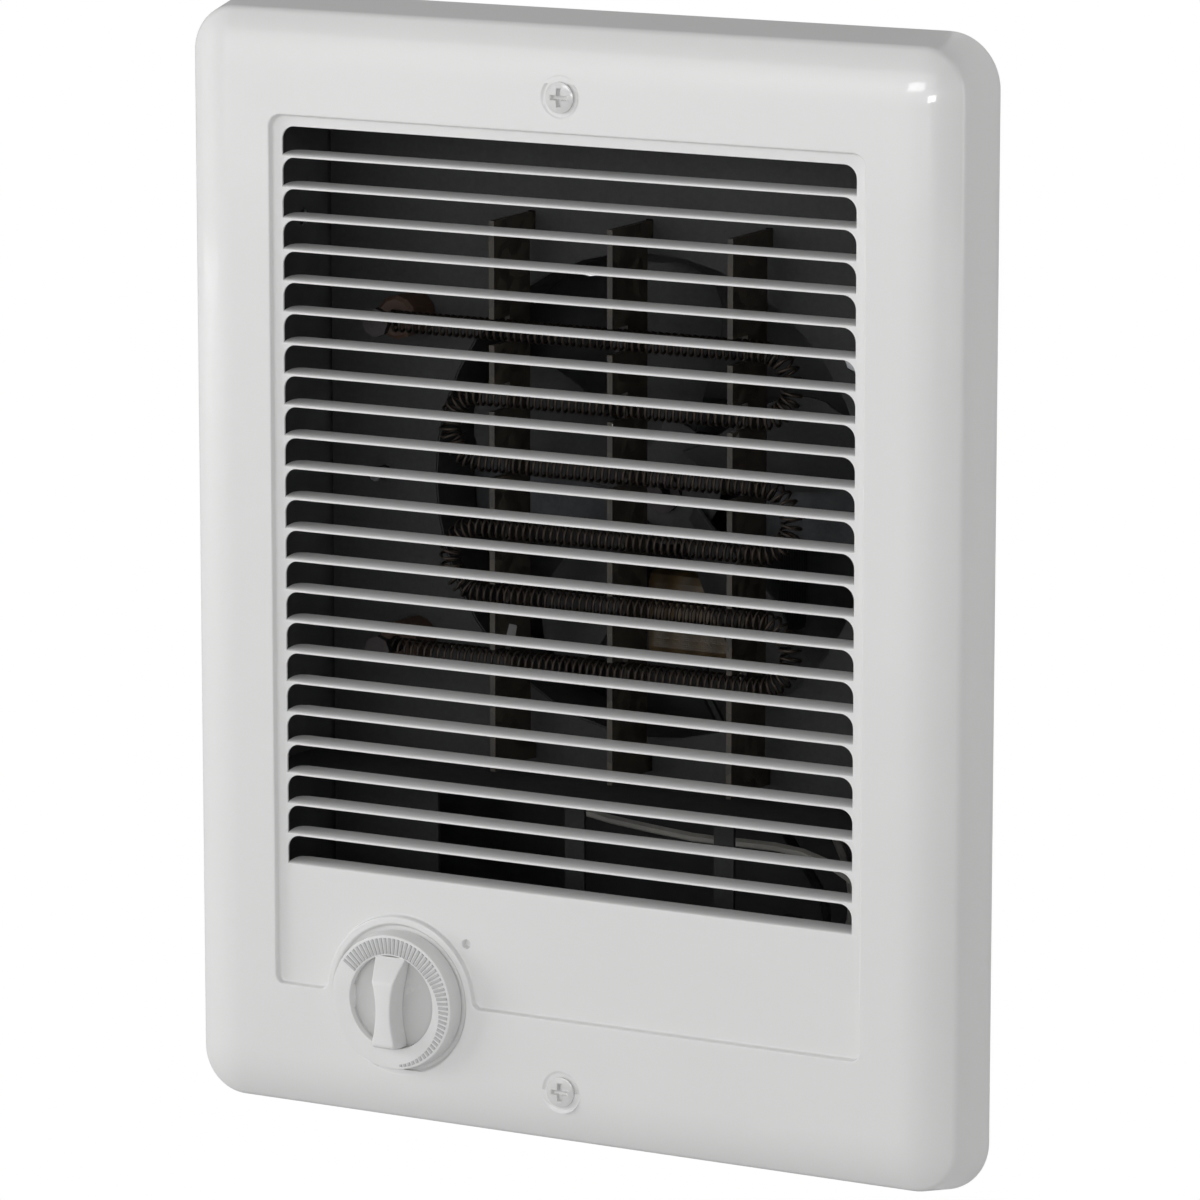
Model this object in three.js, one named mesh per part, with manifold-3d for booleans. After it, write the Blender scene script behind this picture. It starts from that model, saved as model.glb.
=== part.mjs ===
// In-wall fan convector heater: a louvred steel grille over a recessed wall can that holds a heater deck
// with an open-coil element, an axial fan on a shaded-pole motor, a rotary thermostat and a limit switch.
// Millimetres. The origin is the centre of the grille's rear rim, on the wall plane.
// +X is right as seen from the room, +Y goes into the wall and +Z is up.
import * as THREE from 'three';
import { mergeVertices } from 'three/addons/utils/BufferGeometryUtils.js';
import Module from 'manifold-3d';

const wasm = await Module();
wasm.setup();

// ---------------------------------------------------------------- driving dimensions

// Clearances
const gap = 0.25; // between pieces that rest on each other
const runFit = 0.3; // radial, around anything that turns, slides or passes through a hole
const sideFit = 1.5; // heater deck to the inside of the wall can

// Grille: a pressed pan with a crowned edge
const grilleWidth = 235;
const grilleHeight = 304.8;
const grilleDepth = 19;
const grilleSheet = 1;
const grilleCorner = 14.5; // plan radius of the rim
const cornerTightening = 0.75; // the plan radius shrinks by this share of the inset
const flankDraft = 11; // degrees
const edgeRadius = 3;
const crownRadius = 25;
const crownAngle = 33; // degrees, where the crown meets the edge radius

// Louvre panel: a shallow recess with lanced louvres and a plain strip below them
const panelSideBorder = 28.9; // rim to recess
const panelTopBorder = 30.5;
const panelBottomBorder = 36.9;
const panelDepth = 1.7;
const panelTopRadius = 3.5;
const panelBottomRadius = 2;
const panelMargin = 3; // recess edge to louvres
const plainHeight = 30; // least height of the plain strip
const louvrePitch = 8.4;
const louvreOpening = 7.5;
const louvreCornerRadius = 3.7;
const louvreReach = 8; // front of the panel to the back of a louvre
const louvreRise = 1.2;

// Fasteners
const faceScrewRadius = 2.1;
const faceScrewHead = 4.1;
const faceScrewHeadHeight = 2.5;
const faceScrewLength = 24;
const smallScrewRadius = 1.75;
const smallScrewHead = 3.4;
const smallScrewHeadHeight = 2.2;
const smallScrewLength = 9;

// Thermostat knob and the seat in the grille around it
const knobOffset = 38.7; // left edge of the recess to the knob's axis
const seatClearance = 1.4; // knob to the edge of its seat
const seatDepth = 1.2;
const bossBorder = 2.3; // seat to the edge of the boss
const knobRadius = 19;
const knobTaper = 1; // the rim is this much smaller at the front
const knobProud = 4.5; // ring in front of the grille's face
const knobEdge = 0.4; // rounding of the ring's edges
const knobDishRadius = 12.8;
const knobDishDepth = 2.3;
const knobWall = 1.4;
const hubWall = 3;
const hubClearance = 1.5; // hub to the hole in the grille
const hubToBushing = 1.5;
const knobSeatGap = 0.5;
const gripProud = 4.5; // in front of the ring
const gripRampFoot = 12.6; // the grip slopes from the ring here up to its full height
const gripRampHead = 6.3;
const gripFoot = 12;
const gripFootRounding = 1.2;
const gripWaist = 4.6;
const gripTop = 9.5;
const gripBottom = 6.8;
const indexDotRadius = 0.8;
const indexDotDepth = 0.4;
const indexDotBorder = 4.9; // edge of the boss to the dot
const indexDotAngle = 49; // degrees clockwise from the top

// Thermostat
const shaftRadius = 3.175;
const shaftFlat = 0.8;
const bushingWall = 1.3;
const bushingFront = 4; // in front of the wall plane
const nutAcross = 14;
const nutThickness = 3;
const thermostatWidth = 36;
const thermostatHeight = 21;
const thermostatDepth = 23;
const tabWidth = 6.3;
const tabThickness = 0.8;
const tabLength = 9;
const bracketSheet = 1.2;
const bracketFoot = 10;

// Wall can
const canSideOverlap = 16; // grille rim beyond the can, left and right
const canEndOverlap = 25.4; // top and bottom
const canDrop = 1.8; // centre of the can below the centre of the grille
const canSheet = 1;
const canRearRoom = 2.5; // behind the motor
const earWidth = 60;
const earHeight = 14;
const earCorner = 5;
const earScrewOffset = 6.2; // can edge to the grille screw
const knockoutRadius = 11.1;
const knockoutSlit = 0.5;
const studHoleRadius = 2.5;
const studHoleInset = 36; // from the top and bottom of the can
const studHoleDepth = 18;

// Heater deck, in front of the fan
const deckDepth = 30; // wall plane to the deck's front
const deckSheet = 1.2;
const deckFlange = 10;
const deckTabHeight = 14;
const deckTabWidth = 22;
const orificeBorder = 33; // deck edge to the orifice
const collarLength = 18.8;
const intakeWidth = 40;
const intakeHeight = 32;
const intakeRib = 6;
const baffleSheet = 1;
const baffleBelowOrifice = 11;
const grommetRadius = 6;

// Element
const elementRows = 6;
const elementPitch = 18;
const elementRadius = 3.2; // outside of the wound coil
const elementRun = 88; // straight part of a row
const elementForward = 17; // coil centre in front of the deck
const micaThickness = 1.6;
const micaSpacing = 36;
const micaForward = 22; // front edge in front of the deck
const micaClear = 2.5; // rear edge in front of the deck
const micaTab = 6;
const bushingRadius = 6;
const bushingNeck = 4.2;
const bushingHeight = 11.5;
const studRadius = 2;
const studHead = 4;

// Fan and motor
const fanTipClearance = 5;
const fanBladeCount = 5;
const fanBladePitch = 28; // degrees
const fanSheet = 1.2;
const fanSetback = 8; // behind the deck
const fanDiscRadius = 17;
const fanHubRadius = 7.5;
const fanHubLength = 9;
const motorShaftRadius = 2.5;
const bearingWall = 2.2;
const bearingLength = 7;
const rotorRadius = 13;
const rotorAirGap = 0.4;
const poleShoe = 3.6; // least iron around the rotor
const stackDepth = 16;
const stackHalfWidth = 24;
const stackTop = 20;
const limbHeight = 10;
const windowHeight = 15;
const windowHalfWidth = 14;
const windingBuild = 7;
const bridgeThickness = 4;
const bridgeStandoff = 3;
const motorScrewRadius = 2;
const motorScrewSpacing = 38;
const strapSheet = 1.5;
const strapWidth = 24;
const strapFoot = 13;
const strapClearance = 7; // collar to the strap's leg

// Limit switch with a reset button
const limitRadius = 10;
const limitHeight = 9;
const limitEar = 18; // centre to the end of an ear
const limitSideInset = 21; // from the edge of the deck
const limitAboveFan = 42;
const resetRadius = 2;
const resetProud = 4.5;
const resetTravel = 1.2;

// Wiring
const leadRadius = 1.3;
const leadSides = 6;
const blockWidth = 30;
const blockHeight = 18;
const blockDepth = 13;
const blockInset = 48.9; // edge of the deck to the middle of the terminal block
const blockAboveDeckEdge = 5;
const grommetFromBlock = 28;
const grommetRise = 3.3;
const inletInset = 26.4; // side of the can to the middle of the cable inlet
const inletFromBack = 28;

// ---------------------------------------------------------------- derived places

const degrees = Math.PI / 180;
const sheetBack = -grilleDepth + grilleSheet;
const flankAngle = 90 - flankDraft;
const recessHalf = grilleWidth / 2 - panelSideBorder;
const recessTop = grilleHeight / 2 - panelTopBorder;
const recessBottom = -grilleHeight / 2 + panelBottomBorder;
const panelFront = -grilleDepth + panelDepth;
const panelBack = panelFront + grilleSheet;
const louvreHalf = recessHalf - panelMargin;
const louvreTop = recessTop - panelMargin;
const louvreStrip = louvrePitch - louvreOpening;
const louvreCount = Math.floor((louvreTop - recessBottom - plainHeight) / louvrePitch);
const louvreBottom = louvreTop - louvreCount * louvrePitch + louvreStrip;

const knobX = -recessHalf + knobOffset;
const knobZ = recessBottom;
const seatFace = -grilleDepth + seatDepth;
const knobFront = -grilleDepth - knobProud;
const seatRadius = knobRadius + seatClearance;
const bossRadius = seatRadius + bossBorder;
const indexDotDistance = bossRadius + indexDotBorder;
const dishFloor = knobFront + knobDishDepth;
const dishBack = dishFloor + knobWall;
const bowlRadius = knobDishRadius + knobWall;
const hubRadius = shaftRadius + runFit + hubWall;

const canHalfWidth = grilleWidth / 2 - canSideOverlap;
const canHalfHeight = grilleHeight / 2 - canEndOverlap;
const canTop = canHalfHeight - canDrop;
const canBottom = -canHalfHeight - canDrop;
const faceScrewTop = canTop + earScrewOffset;
const faceScrewBottom = canBottom - earScrewOffset;

const deckBack = deckDepth + deckSheet;
const deckHalfWidth = canHalfWidth - canSheet - sideFit;
const deckTop = canTop - canSheet - sideFit;
const deckBottom = canBottom + canSheet + sideFit;
const orificeRadius = deckHalfWidth - orificeBorder;
const collarBack = deckBack + collarLength;
const fanZ = (louvreTop + louvreBottom) / 2;
const baffleZ = fanZ - orificeRadius - baffleBelowOrifice;

const fanFront = deckBack + fanSetback;
const strapFront = collarBack + 1;
const strapBack = strapFront + strapSheet;
const frontBridge = strapBack + gap;
const stackFront = frontBridge + bridgeThickness + bridgeStandoff + gap;
const stackBack = stackFront + stackDepth;
const rearBridge = stackBack + gap + bridgeStandoff;
const motorBack = rearBridge + bridgeThickness + gap + smallScrewHeadHeight;
const canBack = motorBack + canRearRoom + canSheet;
const limbTop = -rotorRadius - rotorAirGap - poleShoe - windowHeight;
const limbBottom = limbTop - limbHeight;
const strapLeg = orificeRadius + deckSheet + strapClearance;
const strapEnd = strapLeg + strapSheet + strapFoot;

const elementY = deckDepth - elementForward;
const studX = -orificeRadius - bushingRadius;
const studZ = ((elementRows - 1) / 2) * elementPitch;
const limitX = deckHalfWidth - limitSideInset;
const limitZ = fanZ + limitAboveFan;
const thermostatFront = deckDepth - gap - thermostatDepth - bracketSheet;
const bushingOuter = shaftRadius + runFit + bushingWall;
const blockX = deckHalfWidth - blockInset;
const blockZ = deckBottom + blockHeight / 2 + blockAboveDeckEdge;
const grommetX = blockX - grommetFromBlock;
const grommetZ = blockZ + grommetRise;
const inletX = canHalfWidth - inletInset;
const inletY = canBack - inletFromBack;

// ---------------------------------------------------------------- shapes and solids

// A closed solid from a three.js geometry: shared vertices are merged and collapsed triangles dropped.
function solid(geometry) {
  const bare = new THREE.BufferGeometry();
  bare.setAttribute('position', geometry.getAttribute('position'));
  bare.setIndex(geometry.getIndex());
  const merged = mergeVertices(bare, 1e-4);
  const corners = [];
  const index = merged.getIndex().array;
  for (let i = 0; i < index.length; i += 3) {
    const [a, b, c] = index.slice(i, i + 3);
    if (a !== b && b !== c && c !== a) corners.push(a, b, c);
  }
  const vertProperties = Float32Array.from(merged.getAttribute('position').array);
  return new wasm.Manifold(new wasm.Mesh({ numProp: 3, vertProperties,
    triVerts: Uint32Array.from(corners) }));
}

function geometryOf(body) {
  const { vertProperties, triVerts } = body.getMesh();
  const geometry = new THREE.BufferGeometry();
  geometry.setAttribute('position', new THREE.BufferAttribute(Float32Array.from(vertProperties), 3));
  geometry.setIndex(new THREE.BufferAttribute(Uint32Array.from(triVerts), 1));
  geometry.computeVertexNormals();
  return geometry;
}

const joined = (bodies) => bodies.reduce((whole, body) => whole.add(body));

function box(x0, x1, y0, y1, z0, z1) {
  const geometry = new THREE.BoxGeometry(x1 - x0, y1 - y0, z1 - z0);
  return solid(geometry.translate((x0 + x1) / 2, (y0 + y1) / 2, (z0 + z1) / 2));
}

// A round bar along Y.
function disc(radius, y0, y1, x = 0, z = 0, sides = 24) {
  const geometry = new THREE.CylinderGeometry(radius, radius, y1 - y0, sides);
  return solid(geometry.translate(x, (y0 + y1) / 2, z));
}

// A turned piece about the Y axis; the outline runs counterclockwise in radius and Y.
function turned(outline, sides = 24) {
  return solid(new THREE.LatheGeometry(outline.map(([radius, y]) => new THREE.Vector2(radius, y)),
    sides));
}

const tube = (outer, inner, y0, y1, sides = 24) =>
  turned([[inner, y0], [outer, y0], [outer, y1], [inner, y1], [inner, y0]], sides);

// A flat piece in the XZ plane from y0 back to y1.
function slab(shape, y0, y1, curveSegments = 6) {
  const geometry = new THREE.ExtrudeGeometry(shape,
    { depth: y1 - y0, bevelEnabled: false, curveSegments });
  return solid(geometry.rotateX(Math.PI / 2).translate(0, y1, 0));
}

// A section in the YZ plane drawn out along X.
function barAlongX(shape, x0, x1, curveSegments = 6) {
  const geometry = new THREE.ExtrudeGeometry(shape,
    { depth: x1 - x0, bevelEnabled: false, curveSegments });
  return solid(geometry.rotateX(Math.PI / 2).rotateZ(Math.PI / 2).translate(x0, 0, 0));
}

// A section in the XY plane drawn out along Z.
function barAlongZ(shape, z0, z1, curveSegments = 6) {
  const geometry = new THREE.ExtrudeGeometry(shape,
    { depth: z1 - z0, bevelEnabled: false, curveSegments });
  return solid(geometry.translate(0, 0, z0));
}

const polygon = (points) => new THREE.Shape(points.map(([x, y]) => new THREE.Vector2(x, y)));

// A rectangle with its own radius at the bottom and at the top corners.
function roundedRectangle(left, right, bottom, top, bottomRadius, topRadius = bottomRadius, steps = 2) {
  const points = [];
  const corner = (x, y, radius, quarter) => {
    const last = radius > 0 ? steps : 0;
    for (let step = 0; step <= last; step++) {
      const angle = (quarter + step / steps) * 90 * degrees;
      points.push([x + radius * Math.cos(angle), y + radius * Math.sin(angle)]);
    }
  };
  corner(right - bottomRadius, bottom + bottomRadius, bottomRadius, -1);
  corner(right - topRadius, top - topRadius, topRadius, 0);
  corner(left + topRadius, top - topRadius, topRadius, 1);
  corner(left + bottomRadius, bottom + bottomRadius, bottomRadius, 2);
  return polygon(points);
}

// A wire or coil along a smooth curve through its points.
function wire(points, radius, sides, steps) {
  const section = new THREE.Shape();
  section.absarc(0, 0, radius, 0, 2 * Math.PI);
  const extrudePath = new THREE.CatmullRomCurve3(points.map((point) => new THREE.Vector3(...point)));
  const geometry = new THREE.ExtrudeGeometry(section, { steps, curveSegments: sides / 2, extrudePath });
  return solid(geometry);
}

const part = new THREE.Group();

const finishes = {
  whitePaint: { color: 0xe8e8e6, roughness: 0.4, metalness: 0 },
  whitePlastic: { color: 0xebebe8, roughness: 0.45, metalness: 0 },
  galvanised: { color: 0xa9adb0, roughness: 0.45, metalness: 0.9 },
  blackPaint: { color: 0x1b1b1c, roughness: 0.7, metalness: 0 },
  zincSteel: { color: 0xb9bcbf, roughness: 0.35, metalness: 1 },
  aluminium: { color: 0xc6c8ca, roughness: 0.4, metalness: 1 },
  brass: { color: 0xc9a45a, roughness: 0.35, metalness: 1 },
  bronze: { color: 0x9a7040, roughness: 0.5, metalness: 1 },
  mica: { color: 0xb49a6c, roughness: 0.7, metalness: 0 },
  ceramic: { color: 0xe6e0d2, roughness: 0.6, metalness: 0 },
  nichrome: { color: 0x7a746c, roughness: 0.5, metalness: 1 },
  laminations: { color: 0x55585c, roughness: 0.5, metalness: 0.9 },
  windingTape: { color: 0xc9b878, roughness: 0.6, metalness: 0 },
  phenolic: { color: 0x2a2624, roughness: 0.5, metalness: 0 },
  redPlastic: { color: 0xb3261e, roughness: 0.4, metalness: 0 },
  greenSteel: { color: 0x2f7a45, roughness: 0.4, metalness: 0.7 },
  blackRubber: { color: 0x161616, roughness: 0.8, metalness: 0 },
  redLead: { color: 0xa82a22, roughness: 0.6, metalness: 0 },
  blackLead: { color: 0x1c1c1e, roughness: 0.6, metalness: 0 },
  whiteLead: { color: 0xdcdad4, roughness: 0.6, metalness: 0 },
};

function add(name, body, finish, group = part) {
  const mesh = new THREE.Mesh(geometryOf(body), new THREE.MeshStandardMaterial(finishes[finish]));
  mesh.name = name;
  group.add(mesh);
  return mesh;
}

function groupAt(x, y, z) {
  const group = new THREE.Group();
  group.position.set(x, y, z);
  part.add(group);
  return group;
}

// A pan-head screw: its head rests on y = 0 and faces -Y, and its shank runs to +Y.
function panScrew(radius, head, headHeight, length, sides, crossRecess) {
  const dome = crossRecess ? [[head * 0.62, -headHeight * 0.93], [head * 0.93, -headHeight * 0.6]]
    : [[head * 0.7, -headHeight]];
  const body = turned([
    [0, -headHeight], ...dome, [head, -headHeight * 0.3], [head, 0], [radius, 0], [radius, length],
      [0, length],
  ], sides);
  if (!crossRecess) return body;
  const arm = head * 0.5;
  const half = head * 0.12;
  const floor = -headHeight * 0.3;
  const cross = box(-arm, arm, -headHeight - 1, floor, -half, half)
    .add(box(-half, half, -headHeight - 1, floor, -arm, arm));
  return body.subtract(cross);
}

const smallScrew = () => panScrew(smallScrewRadius, smallScrewHead, smallScrewHeadHeight,
  smallScrewLength, 8, false);
const screwHole = smallScrewRadius + runFit;

// ---------------------------------------------------------------- grille

// The pan's section from the rim to the flat face, as [inset, y, tangent angle] with 0 degrees along the
// face.
function panSection() {
  const crownSteps = 3;
  const edgeSteps = 2;
  const arc = (radius, angle) => [radius * Math.sin(angle * degrees),
    radius * (1 - Math.cos(angle * degrees))];
  const [crownRun, crownFall] = arc(crownRadius, crownAngle);
  const [edgeRunAtCrown, edgeFallAtCrown] = arc(edgeRadius, crownAngle);
  const [edgeRun, edgeFall] = arc(edgeRadius, flankAngle);
  const flankTopY = -grilleDepth + crownFall + edgeFall - edgeFallAtCrown;
  const flankInset = -flankTopY * Math.tan(flankDraft * degrees);
  const faceInset = flankInset + crownRun + edgeRun - edgeRunAtCrown;
  const section = [[0, 0, flankAngle]];
  for (let step = 0; step <= edgeSteps; step++) {
    const angle = flankAngle + ((crownAngle - flankAngle) * step) / edgeSteps;
    const [run, fall] = arc(edgeRadius, angle);
    section.push([flankInset + edgeRun - run, flankTopY - edgeFall + fall, angle]);
  }
  for (let step = 1; step <= crownSteps; step++) {
    const angle = crownAngle * (1 - step / crownSteps);
    const [run, fall] = arc(crownRadius, angle);
    section.push([faceInset - run, -grilleDepth + fall, angle]);
  }
  return section;
}

// A solid stack of rounded rectangles, from the rim to the face; offset moves every level inwards.
function panBody(offset) {
  const cornerSteps = 4;
  const levels = panSection().map(([inset, y, angle]) => [
    inset + offset * Math.sin(angle * degrees), y + offset * Math.cos(angle * degrees),
  ]);
  if (offset > 0) levels.unshift([levels[0][0], levels[0][1] + 1]);
  const ring = ([inset, y]) => {
    const radius = grilleCorner - inset * cornerTightening;
    const points = [];
    [[1, 1], [-1, 1], [-1, -1], [1, -1]].forEach(([sideX, sideZ], quarter) => {
      for (let step = 0; step <= cornerSteps; step++) {
        const angle = ((quarter + step / cornerSteps) * Math.PI) / 2;
        const x = sideX * (grilleWidth / 2 - inset - radius) + radius * Math.cos(angle);
        const z = sideZ * (grilleHeight / 2 - inset - radius) + radius * Math.sin(angle);
        points.push(x, y, z);
      }
    });
    return points;
  };
  const count = 4 * (cornerSteps + 1);
  const positions = levels.flatMap(ring);
  const index = [];
  for (let level = 0; level + 1 < levels.length; level++) {
    for (let i = 0; i < count; i++) {
      const [a, b] = [level * count + i, level * count + ((i + 1) % count)];
      index.push(a, b, b + count, a, b + count, a + count);
    }
  }
  const last = (levels.length - 1) * count;
  for (let i = 1; i + 1 < count; i++) {
    index.push(0, i + 1, i);
    index.push(last, last + i, last + i + 1);
  }
  const geometry = new THREE.BufferGeometry();
  geometry.setAttribute('position', new THREE.BufferAttribute(Float32Array.from(positions), 3));
  geometry.setIndex(index);
  return solid(geometry);
}

// The shallow pressings of the face: the louvre panel around the knob's boss, and the knob's seat.
// grow widens them by the sheet on the inside of the pan.
function facePressings(grow) {
  const front = -grilleDepth - 1;
  const panel = slab(
    roundedRectangle(-recessHalf - grow, recessHalf + grow, recessBottom - grow, recessTop + grow,
      panelBottomRadius + grow, panelTopRadius + grow, 3),
    front, panelFront + grow);
  const boss = disc(bossRadius - grow, front - 1, panelFront + grow + 1, knobX, knobZ, 32);
  const seat = disc(seatRadius + grow, front, seatFace + grow, knobX, knobZ, 32);
  return panel.subtract(boss).add(seat);
}

// One louvre, lanced from the panel and bent back from the bottom edge of its opening.
function louvre(bottom) {
  const top = new THREE.QuadraticBezierCurve(
    new THREE.Vector2(panelFront + grilleSheet / 2, bottom),
    new THREE.Vector2(panelFront + louvreReach / 2, bottom + louvreRise / 6),
    new THREE.Vector2(panelFront + louvreReach, bottom + louvreRise)).getPoints(2);
  const outline = top.map((point) => [point.x, point.y]);
  const underside = [...outline].reverse().map(([y, z]) => [y, z - louvreStrip]);
  return barAlongX(polygon([...underside, ...outline]), -louvreHalf, louvreHalf);
}

function grille() {
  const hollow = panBody(grilleSheet).subtract(facePressings(grilleSheet));
  let body = panBody(0).subtract(facePressings(0)).subtract(hollow);
  const bottoms = Array.from({ length: louvreCount },
    (_, i) => louvreTop - i * louvrePitch - louvreOpening);
  for (const bottom of bottoms) {
    const opening = roundedRectangle(-louvreHalf, louvreHalf, bottom, bottom + louvreOpening, 0,
      louvreCornerRadius);
    body = body.subtract(slab(opening, panelFront - 1, panelBack + 1));
  }
  const plan = roundedRectangle(-louvreHalf, louvreHalf, panelFront, panelFront + louvreReach, 0,
    louvreCornerRadius);
  body = body.add(joined(bottoms.map(louvre)).intersect(barAlongZ(plan, louvreBottom - 5, louvreTop)));
  for (const z of [faceScrewTop, faceScrewBottom]) {
    body = body.subtract(disc(faceScrewRadius + runFit, -grilleDepth - 1, sheetBack + 1, 0, z, 12));
  }
  body = body.subtract(disc(hubRadius + hubClearance, -grilleDepth - 1, 0, knobX, knobZ, 24));
  const dotX = knobX + indexDotDistance * Math.sin(indexDotAngle * degrees);
  const dotZ = knobZ + indexDotDistance * Math.cos(indexDotAngle * degrees);
  return body.subtract(disc(indexDotRadius, -grilleDepth, panelFront + indexDotDepth, dotX, dotZ, 8));
}

add('grille', grille(), 'whitePaint');

for (const [end, z] of [['top', faceScrewTop], ['bottom', faceScrewBottom]]) {
  const screw = panScrew(faceScrewRadius, faceScrewHead, faceScrewHeadHeight, faceScrewLength, 16, true);
  add(`grille_screw_${end}`, screw, 'whitePaint', groupAt(0, -grilleDepth - gap, z));
}

// ---------------------------------------------------------------- thermostat and knob

const thermostat = groupAt(knobX, 0, knobZ);
const hubBack = -bushingFront - hubToBushing;
const shaftFront = dishBack + gap;

// A rod with a flat on its top side, from y0 to y1; grow widens it for the bore around it.
function flattedRod(y0, y1, grow) {
  const flatZ = shaftRadius - shaftFlat + grow;
  return disc(shaftRadius + grow, y0, y1).subtract(box(-10, 10, y0 - 1, y1 + 1, flatZ, flatZ + 10));
}

function knob() {
  const rimBack = seatFace - knobSeatGap;
  const frontRadius = knobRadius - knobTaper;
  const body = turned([
    [0, dishFloor], [knobDishRadius - knobEdge, dishFloor], [knobDishRadius, knobFront + knobEdge],
    [knobDishRadius + knobEdge, knobFront], [frontRadius - knobEdge, knobFront],
    [frontRadius, knobFront + knobEdge], [knobRadius, rimBack], [knobRadius - knobWall, rimBack],
    [frontRadius - knobWall, knobFront + knobWall], [bowlRadius, knobFront + knobWall],
    [bowlRadius, dishBack], [hubRadius, dishBack], [hubRadius, hubBack], [0, hubBack],
  ], 32);
  const gripFront = knobFront - gripProud;
  const gripBack = dishFloor + knobWall / 2;
  const plan = new THREE.Shape();
  plan.moveTo(-gripBottom / 2, -gripRampFoot);
  plan.lineTo(gripBottom / 2, -gripRampFoot);
  plan.quadraticCurveTo(gripWaist - gripBottom / 2, -gripRampHead / 2, gripBottom / 2, gripRampHead);
  plan.lineTo(gripTop / 2, gripRampFoot);
  plan.lineTo(-gripTop / 2, gripRampFoot);
  plan.lineTo(-gripBottom / 2, gripRampHead);
  plan.quadraticCurveTo(gripBottom / 2 - gripWaist, -gripRampHead / 2, -gripBottom / 2, -gripRampFoot);
  const side = polygon([
    [gripBack, -gripFoot], [gripBack, gripRampFoot], [knobFront, gripRampFoot],
    [gripFront, gripRampHead], [gripFront, gripFootRounding - gripFoot],
    [gripFront + gripFootRounding, -gripFoot],
  ]);
  const grip = slab(plan, gripFront - 1, gripBack, 4).intersect(barAlongX(side, -gripTop, gripTop));
  const bore = flattedRod(shaftFront - gap, hubBack + 1, runFit);
  return body.add(grip).subtract(bore);
}

add('thermostat_knob', knob(), 'whitePlastic', thermostat);

const flatEnd = hubBack + runFit;
const rod = disc(shaftRadius, flatEnd, thermostatFront + thermostatDepth / 2)
  .add(flattedRod(shaftFront, flatEnd + 0.1, 0));
add('thermostat_shaft', rod, 'zincSteel', thermostat);

const bushingBack = thermostatFront + bracketSheet + 3;
add('thermostat_bushing', tube(bushingOuter, shaftRadius + runFit, -bushingFront, bushingBack, 16),
  'brass', thermostat);
const nutCorner = nutAcross / Math.sqrt(3);
const nut = new THREE.CylinderGeometry(nutCorner, nutCorner, nutThickness, 6);
nut.translate(0, thermostatFront - gap - nutThickness / 2, 0);
const nutBore = disc(bushingOuter + runFit, -bushingFront - 10, thermostatFront, 0, 0, 16);
add('thermostat_nut', solid(nut).subtract(nutBore), 'zincSteel', thermostat);

// The switch body, with a blind bore for the shaft, a wider one for the bushing and slots for its tabs.
const bodyFront = thermostatFront + bracketSheet + gap;
const bodyBack = deckDepth - 2 * gap;
const tabRows = [-5, 5];
const tabInside = 4;
const bodyHalf = thermostatWidth / 2;
let switchBody = slab(roundedRectangle(-bodyHalf, bodyHalf, -thermostatHeight / 2, thermostatHeight / 2,
  1.5), bodyFront, bodyBack)
  .subtract(disc(bushingOuter + runFit, bodyFront - 1, bushingBack + gap, 0, 0, 16))
  .subtract(disc(shaftRadius + runFit, bodyFront - 1, thermostatFront + thermostatDepth / 2 + 1, 0, 0,
    16));
for (const z of tabRows) {
  const tabY = bodyBack - 6;
  const half = tabThickness / 2;
  switchBody = switchBody
    .subtract(box(bodyHalf - tabInside - gap, bodyHalf + 1, tabY - tabWidth / 2 - gap,
    tabY + tabWidth / 2 + gap, z - half - gap, z + half + gap));
  add(`thermostat_tab_${z < 0 ? 'lower' : 'upper'}`,
    box(bodyHalf - tabInside, bodyHalf - tabInside + tabLength, tabY - tabWidth / 2, tabY + tabWidth / 2,
      z - half, z + half),
    'brass', thermostat);
}
add('thermostat_body', switchBody, 'phenolic', thermostat);

// The bracket: a front plate, a leg on the left of the switch body and a foot on the deck.
const legX = -bodyHalf - gap - bracketSheet;
const footX = legX - bracketFoot;
const footHoleX = footX + bracketFoot / 2;
const bracketPlan = polygon([
  [bodyHalf - 4, thermostatFront], [bodyHalf - 4, thermostatFront + bracketSheet],
  [legX + bracketSheet, thermostatFront + bracketSheet], [legX + bracketSheet, deckDepth - gap],
    [footX, deckDepth - gap],
  [footX, deckDepth - gap - bracketSheet], [legX, deckDepth - gap - bracketSheet],
    [legX, thermostatFront],
]);
const thermostatBracket = barAlongZ(bracketPlan, -thermostatHeight / 2, thermostatHeight / 2)
  .subtract(disc(bushingOuter + runFit, thermostatFront - 1, bodyFront + 1, 0, 0, 16))
  .subtract(disc(screwHole, deckDepth - 3, deckDepth, footHoleX, 0, 8));
add('thermostat_bracket', thermostatBracket, 'zincSteel', thermostat);
const bracketFootFront = deckDepth - gap - bracketSheet;
add('thermostat_bracket_screw', smallScrew(), 'zincSteel',
  groupAt(knobX + footHoleX, bracketFootFront - gap, knobZ));

// ---------------------------------------------------------------- wall can

// A knockout left in place: two curved slits with a bridge of metal between their ends.
function knockoutSlits() {
  const bridge = 12 * degrees;
  return [0, Math.PI].map((turn) => {
    const slit = new THREE.Shape();
    slit.absarc(0, 0, knockoutRadius, turn + bridge, turn + Math.PI - bridge, false);
    slit.absarc(0, 0, knockoutRadius - knockoutSlit, turn + Math.PI - bridge, turn + bridge, true);
    return slit;
  });
}

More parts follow.
